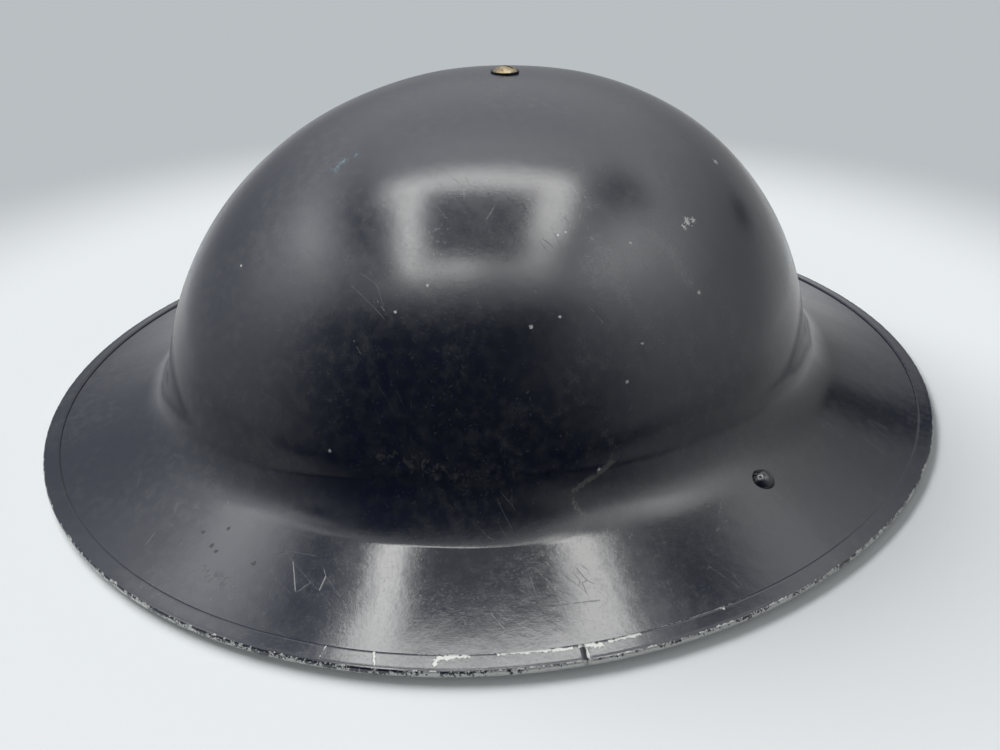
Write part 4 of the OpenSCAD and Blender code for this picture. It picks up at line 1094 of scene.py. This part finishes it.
dress(ringPiece("headbandFrame", roundedBand(-liner["thick"], 0, liner["foot"], linerTop)), fibre, "root",
      "headband_frame", slot="fibre")


sweatInset = liner["thick"] + liner["sweatGap"] + liner["sweatThick"]


def pucker(angle, z):
    # how far the sweatband's upper part is drawn in by its seam
    share = smooth((z - liner["foot"]) / liner["puckerFade"])
    return liner["puckerDepth"] * share * (0.5 + 0.5 * np.sin(angle * liner["puckers"] + 0.6))


def makeSweatband():
    # a coated strip inside the frame, turned out under its lower edge
    inset, t, bend = sweatInset, liner["sweatThick"], liner["sweatTurn"]
    high, low = linerTop - liner["sweatTop"], liner["foot"] - liner["seat"]
    rise = np.linspace(high - 0.5, low + 2.0, 12)
    turn = degrees(np.linspace(0, 90, 6))
    inner = [(-inset + 0.5 * (1 - np.sin(a)), high - 0.5 * (1 - np.cos(a))) for a in degrees([60, 20, 0])]
    profile = (inner + [(-inset, z) for z in rise]
               + [(-inset + bend * (1 - np.cos(a)), low - t + bend * (1 - np.sin(a)) + 0.02) for a in turn]
               + [(-0.9, low - t), (-0.35, low - t * 0.75), (-0.05, low - t * 0.3), (-0.3, low)]
               + [(-inset + t + 0.7, low), (-inset + t, low + 0.6)] + [(-inset + t, z) for z in rise[::-1]]
               + [(-inset + t - 0.1, high)])
    return ringPiece("sweatBand", profile, 256, pucker)


dress(makeSweatband(), oilcloth, "root", "sweatband", slot="oilcloth")


def sweatSeam(name, z):
    # a row of stitches on the sweatband's inner face at one height; a stitch is (pitch, length, thickness)
    pitch, length, thick = liner["stitch"]
    count = round(2 * np.pi * (liner["width"] + liner["length"]) / 4 / pitch)
    a = degrees(np.linspace(0, 360, count, endpoint=False))
    r = frameRadius(a, z) - sweatInset - pucker(a, z) - thick * 0.1
    middle = aroundAxis(a, r[:, None], np.full((count, 1), z))[:, 0]
    dress(stitchRow(name, middle, -unit(middle * (1, 1, 0)), length, thick), thread, "root")


sweatSeam("seamLow", liner["foot"] + liner["seamLow"])
sweatSeam("seamHigh", linerTop - liner["seamHigh"])


def strapLine(lowR, highR, top, count=60):
    # straight up the frame, then a cubic curve over to the flat stretch at the crossing, and mirrored
    out = liner["seat"] + liner["strapThick"] / 2
    flat, level = liner["plateWide"] / 2 + 1, top - liner["strapThick"] / 2
    a = np.array([lowR + out, liner["foot"] + liner["strapLow"]])
    b = np.array([highR + out, linerTop])
    c = b + (top - b[1]) * 0.53 * (b - a) / np.linalg.norm(b - a)
    d, e = np.array([highR * 0.43, level]), np.array([flat, level])
    f = np.linspace(0, 1, count)[:, None]
    curve = b * (1 - f) ** 3 + c * 3 * f * (1 - f) ** 2 + d * 3 * f * f * (1 - f) + e * f ** 3
    rise = a + (b - a) * np.linspace(0, 1, 12)[:-1, None]
    half = np.concatenate([rise, curve])
    middle = np.stack([np.linspace(flat, -flat, 9)[1:-1], np.full(7, level)], 1)
    return np.concatenate([half, middle, half[::-1] * (-1, 1)])


def crownStrap(name, alongY, top, shift):
    side = np.pi / 2 if alongY else 0.0
    line = strapLine(frameRadius(side, strapFoot), frameRadius(side, linerTop), top)
    zero = np.zeros(len(line))
    centre = np.stack([zero, *line.T] if alongY else [line[:, 0], zero + shift, line[:, 1]], 1)
    wide = np.tile([1.0, 0, 0] if alongY else [0, 1.0, 0], (len(line), 1))
    section = strapSection(liner["strapWidth"], liner["strapThick"], 0.5)
    return surface(name, alongPath(centre, wide, section), wrapV=True, caps=True, size=(0.29, 0.059))


strapFoot = liner["foot"] + liner["strapLow"]
padTop = helmet["crown"] - helmet["sheet"] - liner["seat"]
longTop = padTop - liner["padThick"] - liner["seat"]
crossTop = longTop - liner["strapThick"] - liner["seat"]
dress(crownStrap("crownStrapLong", True, longTop, 0), oilcloth, "root", "crown_strap_long", slot="oilcloth")
dress(crownStrap("crownStrapCross", False, crossTop, liner["crownY"]), oilcloth, "root", "crown_strap_cross",
      slot="oilcloth")


def makePad():
    # a disc of felt, domed to the crown above, dipping past the crossed straps below
    radius, flat, strap = liner["padWide"] / 2, liner["plateWide"] / 2 + 1, liner["strapWidth"]
    share = np.linspace(0, 1, 26) ** 0.8
    r = share * radius
    foot = helmet["bowlHalf"][0]
    bowl = lambda x: helmet["crown"] * (1 - (x / foot) ** helmet["curve"]) ** (1 / helmet["curve"])
    top = bowl(r + liner["crownY"]) - bowl(liner["crownY"]) + padTop - 0.004 * r - liner["padInset"]
    along = np.sqrt(np.clip(r * r - strap * strap / 4, 0, None))
    edge = math.sqrt(radius * radius - strap * strap / 4)
    dip = liner["padDip"] * (np.clip(along - flat, 0, None) / (edge - flat)) ** liner["padDipCurve"]
    low = padTop - liner["padThick"] - dip + liner["padInset"]
    outer = np.clip((share - liner["padEdge"]) / (1 - liner["padEdge"]), 0, 1)
    middle, close = (top + low) / 2, liner["padRound"] * (1 - np.sqrt(1 - outer ** 2))
    top, low = mix(top, middle, close), mix(low, middle, close)
    ring = np.concatenate([r, r[::-1]]), np.concatenate([top, low[::-1]])
    angle = degrees(np.linspace(0, 360, 96, endpoint=False))
    grid = aroundAxis(angle, np.tile(ring[0], (96, 1)), np.tile(ring[1], (96, 1)))
    return surface("crownPad", grid + (0, liner["crownY"], 0), wrapU=True, weld=True)


pad = dress(makePad(), felt, "root", "crown_pad", slot="felt_pad")


def makeBuffer(name, middle):
    # a rubber block that fills the gap between frame and wall, rounded at its ends and edges
    f = np.linspace(-1, 1, 41)
    q = degrees(middle + f * liner["bufferHalf"])
    foot = liner["foot"] + (liner["strapLow"] - liner["bufferHeight"]) / 2
    drop, shoulder = liner["bufferRound"], liner["bufferShoulder"]
    low, high = foot + drop * f ** 4, foot + liner["bufferHeight"] - drop * f ** 4
    out = 1 - liner["bufferTaper"] * f ** 4
    t = degrees(np.linspace(0, 90, 6))
    # half of its profile, as (share outward, distance from the top or the foot): over the top and down
    across = [(0.0, 0.5), (0.03, 0.0)] + [(k * (1 - shoulder), 0.0) for k in (0.3, 0.6, 0.9)]
    half = across + [(1 - shoulder * (1 - np.sin(a)), drop * (1 - np.cos(a))) for a in t] + [(1.0, 2.5)]
    rows = []
    for k, d, under in [(*point, False) for point in half] + [(*point, True) for point in half[::-1]]:
        z = low + d if under else high - d
        inner, outer = frameRadius(q, z) + liner["seat"], wallRadius(q, z) - liner["seat"]
        r = mix(inner, outer, k * out)
        rows.append(np.stack([r * np.cos(q), r * np.sin(q), z], 1))
    return surface(name, np.stack(rows, 1), wrapV=True, caps=True, size=(0.05, 0.06))


for name, middle in (("buffer_left", 0), ("buffer_rear", 90), ("buffer_right", 180), ("buffer_front", 270)):
    side = name.split("_")[1]
    dress(makeBuffer("rubberBuffer" + side.capitalize(), middle), rubber, "root", name, slot="buffer_rubber")
print("liner made")

# the chinstrap, in millimetres and degrees: bar is the loop's lower bar, and wrap how far the fold goes round
# it to each side; half, turn, run and front shape the stowed curve
strap = dict(
    width=19, thick=1.6, foldLength=21, half=50, turn=10, run=40, front=84, barX=99.3998, barZ=4.37318,
    standZ=11.9, gap=0.2, hole=1.45, seat=0.3, tail=26, wrap=146, wrapFrom=4.2,
)
strapStart = strap["barX"] - strap["foldLength"] - strap["seat"]
turnX = strap["half"] + strap["turn"]
webSection = strapSection(strap["width"], strap["thick"], 0.6)


def twistPath(side, count=40):
    # from flat at the loop's fold to standing on its edge; the width turns with the same ease as the height
    f = np.linspace(0, 1, count)
    e = smooth(f)
    centre = np.stack([side * mix(strapStart, turnX, f), 0 * f, mix(strap["barZ"], strap["standZ"], e)], 1)
    wide = np.stack([0 * f, np.cos(np.pi / 2 * e), -np.sin(np.pi / 2 * e)], 1)
    return centre, wide


def standingPath():
    # the stowed curve: a quarter turn, a straight run, half an ellipse, and the same back
    s = strap
    t = degrees(np.linspace(90, 180, 20))
    turn = np.stack([turnX + s["turn"] * np.cos(t), s["turn"] * (np.sin(t) - 1)], 1)
    run = np.stack([np.full(14, s["half"]), -np.linspace(s["turn"], s["run"], 14)], 1)[1:]
    t = degrees(np.linspace(0, 180, 90))
    arc = np.stack([s["half"] * np.cos(t), -s["run"] - (s["front"] - s["run"]) * np.sin(t)], 1)[1:-1]
    flat = np.concatenate([turn, run, arc, run[::-1] * (-1, 1), turn[::-1] * (-1, 1)])
    centre = np.concatenate([flat, np.full((len(flat), 1), s["standZ"])], 1)
    return centre, np.tile([0.0, 0, -1], (len(flat), 1))


def webPiece(name, centre, wide):
    length = np.linalg.norm(np.diff(centre, axis=0), axis=1).sum() * mm
    return surface(name, alongPath(centre, wide, webSection), wrapV=True, caps=True, size=(length, 0.041))


dress(webPiece("webbingMiddle", *standingPath()), webbing, "strap", "chinstrap", slot="webbing")
for side, name in ((1, "webbingTurnLeft"), (-1, "webbingTurnRight")):
    piece = webPiece(name, *twistPath(side))
    piece.data.materials.append(webbing)
    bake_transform(piece)


def foldPath(side):
    # one layer in to the bar, round it, and back as the other layer
    s = strap
    layer, ring = s["thick"] / 2 + s["gap"] / 2, s["hole"] + s["thick"] / 2
    run = np.linspace(-s["foldLength"], -s["wrapFrom"], 12)
    turn = degrees(np.linspace(-s["wrap"], s["wrap"], 40))
    loop = np.stack([ring * np.cos(turn), ring * np.sin(turn)], 1)
    leave, back = np.stack([run, 0 * run - layer], 1), np.stack([run[::-1], 0 * run + layer], 1)
    line = np.concatenate([leave, loop, back])
    centre = np.stack([side * (s["barX"] + line[:, 0]), 0 * line[:, 0], s["barZ"] + line[:, 1]], 1)
    return centre, np.tile([0.0, 1, 0], (len(line), 1))


for side, name, node in ((1, "webbingEndLeft", "webbing_end_left"),
                         (-1, "webbingEndRight", "webbing_end_right")):
    dress(webPiece(name, *foldPath(side)), webbing, "strap_ends", node, slot="webbing")

tailX = strap["half"] - strap["thick"] - strap["gap"]
tailY = -strap["run"] - 0.5 + np.linspace(0, strap["tail"], 40)
tailCentre = np.stack([np.full(40, tailX), tailY, np.full(40, strap["standZ"])], 1)
dress(webPiece("webbingTail", tailCentre, np.tile([0.0, 0, -1], (40, 1))), webbing, "strap", "strap_tail",
      slot="webbing")
print("chinstrap made")
